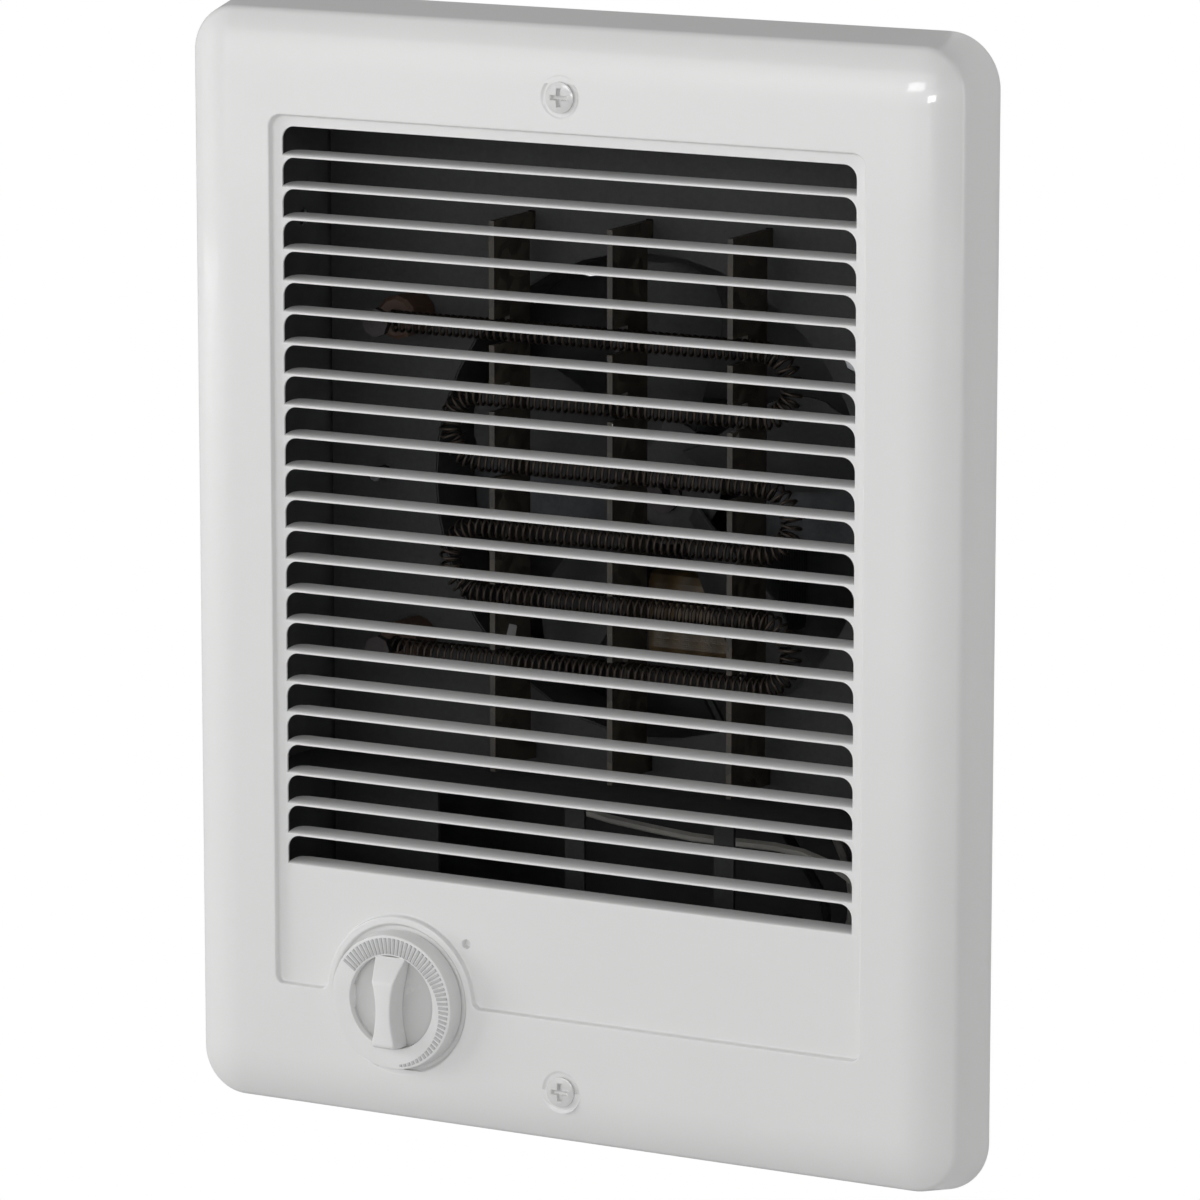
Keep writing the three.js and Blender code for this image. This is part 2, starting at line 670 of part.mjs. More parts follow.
function wallCan() {
  const front = -canSheet;
  let body = box(-canHalfWidth, canHalfWidth, front, canBack, canBottom, canTop).subtract(box(
    -canHalfWidth + canSheet, canHalfWidth - canSheet, front - 1, canBack - canSheet,
      canBottom + canSheet, canTop - canSheet));
  for (const [edge, out, screwZ] of [[canTop, 1, faceScrewTop], [canBottom, -1, faceScrewBottom]]) {
    const [low, high] = [edge - canSheet * out, edge + earHeight * out].sort((a, b) => a - b);
    const [lowCorner, highCorner] = out < 0 ? [earCorner, 0] : [0, earCorner];
    const ear = slab(roundedRectangle(-earWidth / 2, earWidth / 2, low, high, lowCorner, highCorner),
      front, 0);
    body = body.add(ear).add(disc(faceScrewRadius + 1.6, front - 2.5, front + 0.1, 0, screwZ, 12));
    body = body.subtract(disc(faceScrewRadius + runFit, front - 4, 1, 0, screwZ, 12));
    const inner = edge - canSheet * out * 0.5;
    const [tabLow, tabHigh] = [inner, inner - deckTabHeight * out].sort((a, b) => a - b);
    body = body.add(box(-deckTabWidth / 2, deckTabWidth / 2, deckBack + gap, deckBack + gap + 1.5, tabLow,
      tabHigh));
    const holeZ = edge - (canSheet + deckTabHeight / 2) * out;
    body = body.subtract(disc(screwHole, deckBack, deckBack + 4, 0, holeZ, 8));
  }
  for (const side of [-1, 1]) {
    for (const z of [canTop - studHoleInset, canBottom + studHoleInset]) {
      const hole = new THREE.CylinderGeometry(studHoleRadius, studHoleRadius, 4, 8).rotateZ(Math.PI / 2);
      body = body.subtract(solid(hole.translate(side * canHalfWidth, studHoleDepth, z)));
    }
  }
  for (const shape of knockoutSlits()) {
    for (const x of [-canHalfWidth / 2, canHalfWidth / 2]) {
      body = body.subtract(slab(shape, canBack - 3, canBack + 1, 4).translate([x, 0, fanZ + 60]));
    }
    const top = new THREE.ExtrudeGeometry(shape, { depth: 4, bevelEnabled: false, curveSegments: 4 });
    body = body.subtract(solid(top.translate(-inletX, inletY, canTop - 2)));
  }
  const inlet = new THREE.CylinderGeometry(knockoutRadius, knockoutRadius, 4, 20).rotateX(Math.PI / 2);
  body = body.subtract(solid(inlet.translate(inletX, inletY, canBottom)));
  const clampHole = new THREE.CylinderGeometry(screwHole, screwHole, 4, 8).rotateX(Math.PI / 2);
  body = body.subtract(solid(clampHole.translate(inletX - 13, inletY - 20, canBottom)));
  return body.subtract(disc(screwHole, canBack - 3, canBack + 1, groundX, groundZ, 8));
}

const groundX = inletX + 15;
const groundZ = canBottom + 40;
add('wall_can', wallCan(), 'galvanised');

// The cable clamp: a strap arched over the cable beside the open knockout, with one screw.
const floorZ = canBottom + canSheet + gap;
const clampSheet = 1.5;
const archRadius = 7;
const clampLeft = inletX - 18;
const clampRight = inletX + 12;
const archTop = archRadius + clampSheet;
const archFoot = Math.asin(clampSheet / archTop);
const clampArch = new THREE.Shape();
clampArch.moveTo(clampLeft, floorZ);
clampArch.absarc(inletX, floorZ, archRadius, Math.PI, 0, true);
clampArch.lineTo(clampRight, floorZ);
clampArch.lineTo(clampRight, floorZ + clampSheet);
clampArch.absarc(inletX, floorZ, archTop, archFoot, Math.PI - archFoot, false);
clampArch.lineTo(clampLeft, floorZ + clampSheet);
const clampHole = new THREE.CylinderGeometry(screwHole, screwHole, 6, 8).rotateX(Math.PI / 2);
const clampBody = slab(clampArch, inletY - 25, inletY - 15, 4)
  .subtract(solid(clampHole.translate(inletX - 13, inletY - 20, floorZ)));
add('cable_clamp', clampBody, 'galvanised');
const clampScrew = add('cable_clamp_screw', smallScrew(), 'zincSteel');
clampScrew.position.set(inletX - 13, inletY - 20, floorZ + clampSheet + gap);
clampScrew.rotation.x = -Math.PI / 2;

const groundHead = 4.2;
const groundScrew = turned([
  [0, -4.5], [groundHead, -4.5], [groundHead, -1.2], [groundHead + 1.6, -1.2], [groundHead + 1.6, 0],
    [smallScrewRadius, 0],
  [smallScrewRadius, 5], [0, 5],
], 8);
add('ground_screw', groundScrew, 'greenSteel', groupAt(groundX, canBack - canSheet - gap, groundZ));

// ---------------------------------------------------------------- heater deck

const intakeTop = baffleZ - baffleSheet - 8;
const intakeOffsets = [-1, 0, 1].map((column) => column * (intakeWidth + intakeRib));

function heaterDeck() {
  let body = box(-deckHalfWidth, deckHalfWidth, deckDepth, deckBack, deckBottom, deckTop);
  for (const side of [-1, 1]) {
    const [x0, x1] = [side * deckHalfWidth, side * (deckHalfWidth - deckSheet)].sort((a, b) => a - b);
    body = body.add(box(x0, x1, deckDepth + 0.5, deckBack + deckFlange, deckBottom, deckTop));
  }
  const collar = turned([
    [orificeRadius, deckDepth + 0.4], [orificeRadius + deckSheet, deckDepth + 0.4],
      [orificeRadius + deckSheet, collarBack],
    [orificeRadius, collarBack], [orificeRadius, deckDepth + 0.4],
  ], 40).translate([0, 0, fanZ]);
  body = body.subtract(disc(orificeRadius + 0.4, deckDepth - 1, deckBack + 1, 0, fanZ, 40)).add(collar);
  for (const x of intakeOffsets) {
    body = body.subtract(box(x - intakeWidth / 2, x + intakeWidth / 2, deckDepth - 1, deckBack + 1,
      intakeTop - intakeHeight, intakeTop));
  }
  for (const [x, z] of deckScrewHoles) body = body
    .subtract(disc(screwHole, deckDepth - 1, deckBack + 1, x, z, 8));
  for (const z of [fanZ - studZ, fanZ + studZ]) {
    body = body.subtract(disc(bushingNeck + runFit, deckDepth - 1, deckBack + 1, studX, z, 12));
  }
  for (const x of micaPlaces) {
    for (const z of [fanZ + micaHalf - micaTab, fanZ - micaHalf]) {
      body = body.subtract(box(x - micaThickness / 2 - runFit, x + micaThickness / 2 + runFit,
        deckDepth - 1, deckBack + 1,
        z - runFit, z + micaTab + runFit));
    }
  }
  const limitWindow = box(limitX - 6, limitX + 6, deckDepth - 1, deckBack + 1, limitZ - 8, limitZ + 8);
  return body.subtract(limitWindow)
    .subtract(disc(grommetRadius, deckDepth - 1, deckBack + 1, grommetX, grommetZ, 12));
}

const deckScrewTop = canTop - canSheet - deckTabHeight / 2;
const deckScrewBottom = canBottom + canSheet + deckTabHeight / 2;
const strapScrewX = strapEnd - strapFoot / 2;
const limitScrewX = limitEar - 3;
const micaHalf = orificeRadius + 3 + micaTab;
const micaPlaces = [-micaSpacing, 0, micaSpacing];
const deckScrewHoles = [
  [0, deckScrewTop], [0, deckScrewBottom], [-strapScrewX, fanZ], [strapScrewX, fanZ],
  [limitX - limitScrewX, limitZ], [limitX + limitScrewX, limitZ], [knobX + footHoleX, knobZ],
  [blockX - blockWidth / 2 + 3, blockZ], [blockX + blockWidth / 2 - 3, blockZ],
];

add('heater_deck', heaterDeck(), 'blackPaint');
for (const [end, z] of [['top', deckScrewTop], ['bottom', deckScrewBottom]]) {
  add(`deck_screw_${end}`, smallScrew(), 'zincSteel', groupAt(0, deckDepth - gap, z));
}

// The shelf that keeps the warm outlet air from the intake below it.
const bafflePlan = polygon([
  [panelFront + louvreReach + 1.5, baffleZ], [panelFront + louvreReach + 1.5, baffleZ - baffleSheet],
  [deckDepth - gap - baffleSheet, baffleZ - baffleSheet], [deckDepth - gap - baffleSheet, baffleZ - 7],
  [deckDepth - gap, baffleZ - 7], [deckDepth - gap, baffleZ],
]);
add('air_baffle', barAlongX(bafflePlan, -deckHalfWidth, deckHalfWidth), 'blackPaint');

// ---------------------------------------------------------------- element

const rowZ = (row) => fanZ + (row - (elementRows - 1) / 2) * elementPitch;

// A mica board: notches open to the front hold the rows of the coil, and a tab at each end goes into the
// deck.
function micaBoard(x) {
  const front = deckDepth - micaForward;
  const rear = deckDepth - micaClear;
  const low = fanZ - micaHalf;
  const high = fanZ + micaHalf;
  const notchHalf = elementRadius + runFit;
  const notchFloor = elementY + elementRadius + runFit;
  const outline = [[front, low], [deckBack + 2, low], [deckBack + 2, low + micaTab],
    [rear, low + micaTab],
    [rear, high - micaTab], [deckBack + 2, high - micaTab], [deckBack + 2, high], [front, high]];
  for (let row = elementRows - 1; row >= 0; row--) {
    const z = rowZ(row);
    outline.push([front, z + notchHalf], [notchFloor, z + notchHalf], [notchFloor, z - notchHalf],
      [front, z - notchHalf]);
  }
  return barAlongX(polygon(outline), x - micaThickness / 2, x + micaThickness / 2);
}

micaPlaces.forEach((x, i) => add(`mica_board_${['left', 'centre', 'right'][i]}`, micaBoard(x), 'mica'));

// The coil's envelope: rows joined by half turns at alternate ends, with both ends on the left.
function heatingElement() {
  const half = elementRun / 2;
  const turn = elementPitch / 2;
  const lastX = studX + studRadius + runFit;
  const pieces = [];
  for (let row = 0; row < elementRows; row++) {
    const isOuter = row === 0 || row === elementRows - 1;
    const run = new THREE.CylinderGeometry(elementRadius, elementRadius, half - (isOuter ? lastX : -half),
      6);
    run.rotateZ(Math.PI / 2).translate((half + (isOuter ? lastX : -half)) / 2, elementY, rowZ(row));
    pieces.push(solid(run));
  }
  for (let row = 0; row + 1 < elementRows; row++) {
    const side = row % 2 === 0 ? 1 : -1;
    const middle = (rowZ(row) + rowZ(row + 1)) / 2;
    const section = new THREE.Shape();
    section.absarc(0, 0, elementRadius * 0.99, 0, 2 * Math.PI);
    const arc = new THREE.CatmullRomCurve3(Array.from({ length: 6 }, (_, i) => {
      const angle = (-100 + 40 * i) * degrees;
      return new THREE.Vector3(side * (half + turn * Math.cos(angle)), elementY,
        middle + turn * Math.sin(angle));
    }));
    pieces.push(solid(new THREE.ExtrudeGeometry(section,
      { steps: 5, curveSegments: 3, extrudePath: arc })));
  }
  return joined(pieces);
}
add('heating_element', heatingElement(), 'nichrome');

// A ceramic bushing with a terminal stud through the deck, at each end of the coil.
for (const [end, z] of [['upper', fanZ + studZ], ['lower', fanZ - studZ]]) {
  const place = groupAt(studX, deckDepth, z);
  const bore = studRadius + runFit;
  const bushing = turned([
    [bore, -gap - bushingHeight], [bushingRadius - 1, -gap - bushingHeight],
      [bushingRadius, -gap - bushingHeight + 1],
    [bushingRadius, -gap], [bushingNeck, -gap], [bushingNeck, deckSheet + 3], [bore, deckSheet + 3],
      [bore, -gap - bushingHeight],
  ], 12);
  add(`element_bushing_${end}`, bushing, 'ceramic', place);
  const headBack = -elementForward - elementRadius - gap;
  const stud = turned([[0, headBack - 2], [studHead, headBack - 2], [studHead, headBack],
    [studRadius, headBack],
    [studRadius, deckSheet + 8], [0, deckSheet + 8]], 8);
  add(`element_stud_${end}`, stud, 'zincSteel', place);
}

// ---------------------------------------------------------------- limit switch

const limit = groupAt(limitX, deckDepth, limitZ);
const limitFront = -gap - limitHeight;
const flangeShape = roundedRectangle(-limitEar, limitEar, -4, 4, 3.5);
let limitBody = turned([[0, limitFront], [limitRadius - 1.5, limitFront], [limitRadius, limitFront + 1.5],
  [limitRadius, -gap], [0, -gap]], 20)
  .add(slab(flangeShape, -gap - 1, -gap))
  .subtract(disc(resetRadius + runFit, limitFront - 1, limitFront + resetTravel + 4, 0, 0, 12));
for (const z of [-4.5, 4.5]) {
  limitBody = limitBody
    .add(box(-tabWidth / 2, tabWidth / 2, -2, tabLength, z - tabThickness / 2, z + tabThickness / 2));
}
for (const x of [-limitScrewX, limitScrewX]) {
  limitBody = limitBody.subtract(disc(screwHole, -3, 1, x, 0, 8));
}
add('limit_switch_body', limitBody, 'phenolic', limit);
const resetButton = turned([[0, limitFront - resetProud], [resetRadius - 0.5, limitFront - resetProud],
  [resetRadius, limitFront - resetProud + 0.5], [resetRadius, limitFront + 3], [0, limitFront + 3]], 12);
add('limit_reset_button', resetButton, 'redPlastic', limit);
for (const [side, x] of [['left', -limitScrewX], ['right', limitScrewX]]) {
  const screw = add(`limit_screw_${side}`, smallScrew(), 'zincSteel', limit);
  screw.position.set(x, -2 * gap - 1, 0);
}

// ---------------------------------------------------------------- fan and motor

const blower = groupAt(0, 0, fanZ);
const fanRadius = orificeRadius - fanTipClearance;
const shaftBore = motorShaftRadius + runFit;

function fanBlades() {
  const rootHalf = 8;
  const tipHalf = Math.min(16, fanRadius * 0.27);
  const blade = new THREE.Shape();
  blade.moveTo(-rootHalf, fanDiscRadius - 5);
  blade.lineTo(rootHalf, fanDiscRadius - 5);
  blade.quadraticCurveTo(rootHalf + 3, fanRadius * 0.5, tipHalf, fanRadius - 7);
  blade.quadraticCurveTo(tipHalf, fanRadius, tipHalf - 8, fanRadius);
  blade.lineTo(-tipHalf + 5, fanRadius - 2);
  blade.quadraticCurveTo(-tipHalf - 2, fanRadius - 4, -tipHalf, fanRadius - 10);
  blade.quadraticCurveTo(-rootHalf - 2, fanRadius * 0.5, -rootHalf, fanDiscRadius - 5);
  let body = disc(fanDiscRadius, 0, fanSheet, 0, 0, 20);
  for (let i = 0; i < fanBladeCount; i++) {
    const turn = (i * 360) / fanBladeCount;
    const flat = slab(blade, -fanSheet / 2, fanSheet / 2, 2);
    body = body.add(flat.rotate([0, 0, fanBladePitch])
      .translate([0, fanSheet / 2, 0]).rotate([0, turn, 0]));
  }
  return body.subtract(disc(shaftBore, -1, fanSheet + 1, 0, 0, 12)).translate([0, fanFront, 0]);
}

add('fan_blades', fanBlades(), 'blackPaint', blower);
const hubFront = fanFront + fanSheet + gap;
add('fan_hub', turned([[shaftBore, hubFront], [fanHubRadius + 3.5, hubFront],
  [fanHubRadius + 3.5, hubFront + 2],
  [fanHubRadius, hubFront + 2], [fanHubRadius, hubFront + fanHubLength],
    [shaftBore, hubFront + fanHubLength],
  [shaftBore, hubFront]], 16), 'aluminium', blower);
add('fan_retaining_nut', tube(5.5, shaftBore, fanFront - gap - 2, fanFront - gap, 12), 'zincSteel',
  blower);

const shaftEnd = rearBridge + bridgeThickness + 2;
add('motor_shaft', disc(motorShaftRadius, fanFront - 6, shaftEnd, 0, 0, 16), 'zincSteel', blower);
add('motor_rotor', tube(rotorRadius, shaftBore, stackFront - 0.5, stackBack + 0.5, 28), 'laminations',
  blower);

function stator() {
  const bore = rotorRadius + rotorAirGap;
  const outline = roundedRectangle(-stackHalfWidth, stackHalfWidth, limbBottom, stackTop, 2);
  const window = roundedRectangle(-windowHalfWidth, windowHalfWidth, limbTop, limbTop + windowHeight, 0);
  let body = slab(outline, stackFront, stackBack)
    .subtract(slab(window, stackFront - 1, stackBack + 1))
    .subtract(disc(bore, stackFront - 1, stackBack + 1, 0, 0, 28));
  for (const side of [-1, 1]) {
    body = body.subtract(disc(motorScrewRadius + runFit, stackFront - 1, stackBack + 1,
      side * motorScrewSpacing / 2, 0, 8));
  }
  return body;
}
add('motor_stator', stator(), 'laminations', blower);

const windingHalf = windowHalfWidth - 1.5;
const winding = barAlongX(roundedRectangle(stackFront - windingBuild, stackBack + windingBuild,
  limbBottom - windingBuild, limbTop + windingBuild, 3), -windingHalf, windingHalf)
  .subtract(box(-windingHalf - 1, windingHalf + 1, stackFront - gap, stackBack + gap, limbBottom - gap,
    limbTop + gap));
add('motor_winding', winding, 'windingTape', blower);

// A bearing bridge across the stack: a bar with a bearing hub, on two standoffs around the motor screws.
// outward is -1 at the front and +1 at the rear; base is the bar's face towards the room.
function bridge(base, outward) {
  const bearingBore = motorShaftRadius + runFit + bearingWall + gap;
  const half = motorScrewSpacing / 2;
  const bar = new THREE.Shape();
  bar.absarc(half, 0, 5.5, -Math.PI / 2, Math.PI / 2);
  bar.absarc(-half, 0, 5.5, Math.PI / 2, (3 * Math.PI) / 2);
  const top = base + bridgeThickness;
  let body = slab(bar, base, top, 3)
    .add(outward < 0 ? disc(8, base - 2, top, 0, 0, 16) : disc(8, base, top + 2, 0, 0, 16));
  for (const side of [-1, 1]) {
    const [y0, y1] = outward < 0 ? [top - 0.1, top + bridgeStandoff]
      : [base - bridgeStandoff, base + 0.1];
    body = body.add(disc(4.6, y0, y1, side * half, 0, 8));
  }
  for (const side of [-1, 1]) body = body
    .subtract(disc(motorScrewRadius + runFit, base - 9, top + 9, side * half, 0, 8));
  return body.subtract(disc(bearingBore, base - 9, top + 9, 0, 0, 16));
}

const bearingOuter = motorShaftRadius + runFit + bearingWall;
const bearings = { front: frontBridge - 2, rear: rearBridge + bridgeThickness + 2 - bearingLength };
for (const [end, base, outward] of [['front', frontBridge, -1], ['rear', rearBridge, 1]]) {
  add(`motor_bridge_${end}`, bridge(base, outward), 'aluminium', blower);
  add(`motor_bearing_${end}`,
    tube(bearingOuter, shaftBore, bearings[end], bearings[end] + bearingLength, 16), 'bronze', blower);
}

const motorScrewTop = rearBridge + bridgeThickness + gap;
for (const [side, x] of [['left', -motorScrewSpacing / 2], ['right', motorScrewSpacing / 2]]) {
  const length = motorScrewTop - strapFront + 1.5;
  const screw = add(`motor_screw_${side}`,
    panScrew(motorScrewRadius, 3.6, smallScrewHeadHeight, length, 8, false), 'zincSteel', blower);
  screw.position.set(x, motorScrewTop, 0);
  screw.rotation.z = Math.PI;
}

// The strap that carries the motor behind the collar, on two legs with feet on the deck.
const footFront = deckBack + gap;
const strapPlan = polygon([
  [-strapEnd, footFront], [-strapLeg, footFront], [-strapLeg, strapFront], [strapLeg, strapFront],
    [strapLeg, footFront],
  [strapEnd, footFront], [strapEnd, footFront + strapSheet],
    [strapLeg + strapSheet, footFront + strapSheet],
  [strapLeg + strapSheet, strapBack], [-strapLeg - strapSheet, strapBack],
    [-strapLeg - strapSheet, footFront + strapSheet],
  [-strapEnd, footFront + strapSheet],
]);
let strap = barAlongZ(strapPlan, -strapWidth / 2, strapWidth / 2)
  .subtract(disc(10, strapFront - 1, strapBack + 1, 0, 0, 16));
for (const side of [-1, 1]) {
  strap = strap.subtract(disc(motorScrewRadius + runFit, strapFront - 1, strapBack + 1,
    side * motorScrewSpacing / 2, 0, 8))
    .subtract(disc(screwHole, footFront - 1, footFront + 4, side * strapScrewX, 0, 8));
}
add('motor_bracket', strap, 'galvanised', blower);
for (const [side, x] of [['left', -strapScrewX], ['right', strapScrewX]]) {
  const screw = add(`motor_bracket_screw_${side}`, smallScrew(), 'zincSteel', blower);
  screw.position.set(x, footFront + strapSheet + gap, 0);
  screw.rotation.z = Math.PI;
}

// ---------------------------------------------------------------- wiring behind the deck

// The supply terminal block on the back of the deck, with a barrier between its two screws.
const blockBack = deckBack + gap + blockDepth;
const terminalX = 5;
let block = box(-blockWidth / 2, blockWidth / 2, deckBack + gap, blockBack, -blockHeight / 2,
  blockHeight / 2);
for (const side of [-1, 1]) {
  const [x0, x1] = [side * 1, side * (blockWidth / 2 - 6)].sort((a, b) => a - b);
  block = block.subtract(box(x0, x1, blockBack - 5, blockBack + 1, -blockHeight / 2 + 2,
    blockHeight / 2 + 1))
    .subtract(disc(smallScrewRadius + runFit, blockBack - 12, blockBack, side * terminalX, 0, 8))
    .subtract(disc(screwHole, deckBack, blockBack + 1, side * (blockWidth / 2 - 3), 0, 8));
}
const blockPlace = groupAt(blockX, 0, blockZ);
add('supply_terminal_block', block, 'phenolic', blockPlace);
for (const [side, x] of [['left', -terminalX], ['right', terminalX]]) {
  const screw = add(`supply_terminal_screw_${side}`, panScrew(smallScrewRadius, 3, 1.8, 6, 8, false),
    'brass', blockPlace);
  screw.position.set(x, blockBack - 5 + gap, 0);
  screw.rotation.z = Math.PI;
}

add('lead_grommet', turned([
  [grommetRadius - 2.5, deckDepth - 1.5], [grommetRadius + 1, deckDepth - 1.5],
    [grommetRadius + 1, deckDepth - gap],
  [grommetRadius - runFit, deckDepth - gap], [grommetRadius - runFit, deckBack + gap],
    [grommetRadius + 1, deckBack + gap],
  [grommetRadius + 1, deckBack + 1.5], [grommetRadius - 2.5, deckBack + 1.5],
    [grommetRadius - 2.5, deckDepth - 1.5],
], 12), 'blackRubber', groupAt(grommetX, 0, grommetZ));

const tabEnd = [knobX + bodyHalf - tabInside + tabLength + gap, bodyBack - 6];
const limitTabEnd = deckDepth + tabLength + gap;
const studEnd = deckBack + 8 + gap;
const windingFoot = fanZ + limbBottom - windingBuild - gap;
const entryY = blockBack - 3;
const entryZ = blockZ + 4.3;
const behindTop = fanZ + orificeRadius;
const leads = {
  lead_supply_to_thermostat: ['blackLead', [
    [...tabEnd, knobZ + tabRows[1]], [-18, 23.5, knobZ + tabRows[1]], [-2, 22.5, -109], [12, 23, -107.3],
    [grommetX - 1.5, deckDepth - 4, grommetZ + 1.7], [grommetX, deckBack + 2.5, grommetZ + 1.7],
      [25, 40, -103],
    [33, 43, -97], [40, 43, -96.5], [blockX - 7, entryY, -101], [blockX - 7, entryY, entryZ]]],
  lead_thermostat_to_limit: ['redLead', [
    [...tabEnd, knobZ + tabRows[0]], [-18, 23.5, knobZ + tabRows[0]], [-2, 22.5, -117], [12, 23, -112.5],
    [grommetX - 1.5, deckDepth - 3.5, grommetZ - 1.7], [grommetX, deckBack + 2.5, grommetZ - 1.7],
      [26, 44, -110],
    [36, 50, -111], [52, 51, -112], [70, 48, -108], [85, 43, -94], [93, 40, -72], [94, 39.5, -40],
      [94, 39.5, -5],
    [94, 39.5, 25], [93.5, 40.5, 43], [86, 46, 52], [limitX, 46, limitZ - 4.5],
      [limitX, limitTabEnd, limitZ - 4.5]]],
  lead_limit_to_element: ['redLead', [
    [limitX, limitTabEnd, limitZ + 4.5], [limitX, 46, limitZ + 4.5], [74, 49, 75],
      [60, 46, behindTop + 6],
    [30, 41, behindTop + 18.5], [0, 39, behindTop + 21.5], [-30, 41, behindTop + 18.5],
      [-60, 46, behindTop + 4],
    [studX, 49, 76], [studX, 46, fanZ + studZ], [studX, studEnd, fanZ + studZ]]],
  lead_element_to_supply: ['whiteLead', [
    [studX, studEnd, fanZ - studZ], [studX, 46, fanZ - studZ], [-71, 49, -37], [-62, 50, -56],
      [-40, 49, -72],
    [0, 48, -78], [40, 47, -79], [56, 45.5, -86], [59, 43, -96], [blockX + 7, entryY, -102],
      [blockX + 7, entryY, entryZ]]],
  motor_lead_left: ['blackLead', [
    [-6, stackBack - 2, windingFoot], [-6, stackBack - 2, windingFoot - 12], [8, 71, -62], [30, 62, -84],
      [44, 50, -94],
    [blockX - 3, entryY + 1, -100], [blockX - 3, entryY, entryZ]]],
  motor_lead_right: ['whiteLead', [
    [6, stackBack - 2, windingFoot], [7, stackBack - 2, windingFoot - 12], [22, 72, -60], [42, 64, -82],
      [52, 50, -94],
    [blockX + 3, entryY + 1, -100], [blockX + 3, entryY, entryZ]]],
};
for (const [name, [finish, points]] of Object.entries(leads)) {
  add(name, wire(points, leadRadius, leadSides, 2 * points.length), finish);
}

export default part;
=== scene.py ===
import math

import bmesh
import bpy
import numpy as np
from bpy.props import FloatProperty, FloatVectorProperty, IntProperty, PointerProperty
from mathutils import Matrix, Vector
from mathutils.geometry import delaunay_2d_cdt


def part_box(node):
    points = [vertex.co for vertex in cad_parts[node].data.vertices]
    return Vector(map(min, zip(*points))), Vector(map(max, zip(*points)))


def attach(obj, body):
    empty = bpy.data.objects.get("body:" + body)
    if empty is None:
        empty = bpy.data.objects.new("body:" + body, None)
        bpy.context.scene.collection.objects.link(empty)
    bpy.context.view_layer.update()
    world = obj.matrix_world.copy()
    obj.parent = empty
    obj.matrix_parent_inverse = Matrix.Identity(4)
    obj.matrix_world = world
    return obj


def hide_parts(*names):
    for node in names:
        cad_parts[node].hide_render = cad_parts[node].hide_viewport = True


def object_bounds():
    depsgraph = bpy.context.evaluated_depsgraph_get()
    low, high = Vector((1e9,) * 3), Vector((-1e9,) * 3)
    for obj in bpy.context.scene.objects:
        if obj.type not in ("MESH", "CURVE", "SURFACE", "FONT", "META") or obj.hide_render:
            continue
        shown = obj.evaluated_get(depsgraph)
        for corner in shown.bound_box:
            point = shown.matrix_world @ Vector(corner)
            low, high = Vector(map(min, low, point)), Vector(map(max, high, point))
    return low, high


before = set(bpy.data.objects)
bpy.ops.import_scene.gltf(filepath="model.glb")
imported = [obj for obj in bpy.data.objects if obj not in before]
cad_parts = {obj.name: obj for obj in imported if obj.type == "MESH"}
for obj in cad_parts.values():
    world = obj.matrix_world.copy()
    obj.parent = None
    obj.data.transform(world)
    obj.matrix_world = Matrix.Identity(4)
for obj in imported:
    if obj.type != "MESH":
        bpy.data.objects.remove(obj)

CAD_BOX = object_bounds()

bl_info = {
    "name": "In-wall fan heater",
    "version": (1, 0, 0),
    "blender": (4, 5, 0),
    "location": "3D View > Sidebar > Heater",
    "description": "Builds a louvred in-wall heater around its frame: grille, knob, "
                   "screws, element, fan, finishes and a plain studio",
    "category": "Object",
}

MM = 0.001
CAN_EAR = 14.0  # height of the can's ears above and below it, in millimetres


# ------------------------------------------------------------------ settings

class GrilleSizes(bpy.types.PropertyGroup):
    """Pressed steel grille, in millimetres."""
    depth: FloatProperty(name="Depth", description="Wall to the face", default=19.0)
    corner: FloatProperty(name="Corner", description="Plan radius of the rim", default=14.5)
    tightening: FloatProperty(name="Tightening", default=0.75,
                              description="Loss of plan radius per millimetre of inset")
    draft: FloatProperty(name="Draft", description="Slope of the flanks, degrees",
                         default=11.0)
    edge_radius: FloatProperty(name="Edge radius", description="Flank to crown",
                               default=3.0)
    crown_radius: FloatProperty(name="Crown radius", description="Crown to face",
                                default=25.0)
    crown_angle: FloatProperty(name="Crown angle", default=33.0,
                               description="Slope where the crown meets the edge, degrees")
    sheet: FloatProperty(name="Sheet", description="Thickness of the pressed sheet",
                         default=0.58)
    side_border: FloatProperty(name="Side border", description="Rim to the recess",
                               default=28.9)
    top_border: FloatProperty(name="Top border", description="Rim to the recess",
                              default=30.5)
    bottom_border: FloatProperty(name="Bottom border", description="Rim to the recess",
                                 default=36.9)
    recess_depth: FloatProperty(name="Recess depth", default=1.7,
                                description="Face to the louvre panel")
    recess_top_radius: FloatProperty(name="Recess top radius", default=3.5,
                                     description="Upper corners of the recess")
    recess_bottom_radius: FloatProperty(name="Recess bottom radius", default=2.2,
                                        description="Lower corners of the recess")
    boss_fillet: FloatProperty(name="Boss fillet", default=2.4,
                               description="Where the recess turns up around the knob")
    louvre_count: IntProperty(name="Louvres", description="Rows of louvres", default=24)
    louvre_pitch: FloatProperty(name="Louvre pitch", description="Row to row", default=8.4)
    louvre_opening: FloatProperty(name="Louvre opening", description="Height of a slot",
                                  default=7.5)
    louvre_margin: FloatProperty(name="Louvre margin", default=3.0,
                                 description="Recess edge to the slots")
    louvre_corner: FloatProperty(name="Louvre corner", default=3.7,
                                 description="Rounding of the slots and the flaps")
    louvre_flap_corner: FloatProperty(name="Flap corner", default=3.0,
                                      description="Rounding of a flap's back corners")
    louvre_reach: FloatProperty(name="Louvre reach", default=6.6,
                                description="Panel to the back edge of a flap")
    louvre_rise: FloatProperty(name="Louvre rise", default=0.45,
                               description="Back edge of a flap above its front")
    louvre_bend: FloatProperty(name="Louvre bend", default=0.6,
                               description="Height of a flap's bend below its slot")


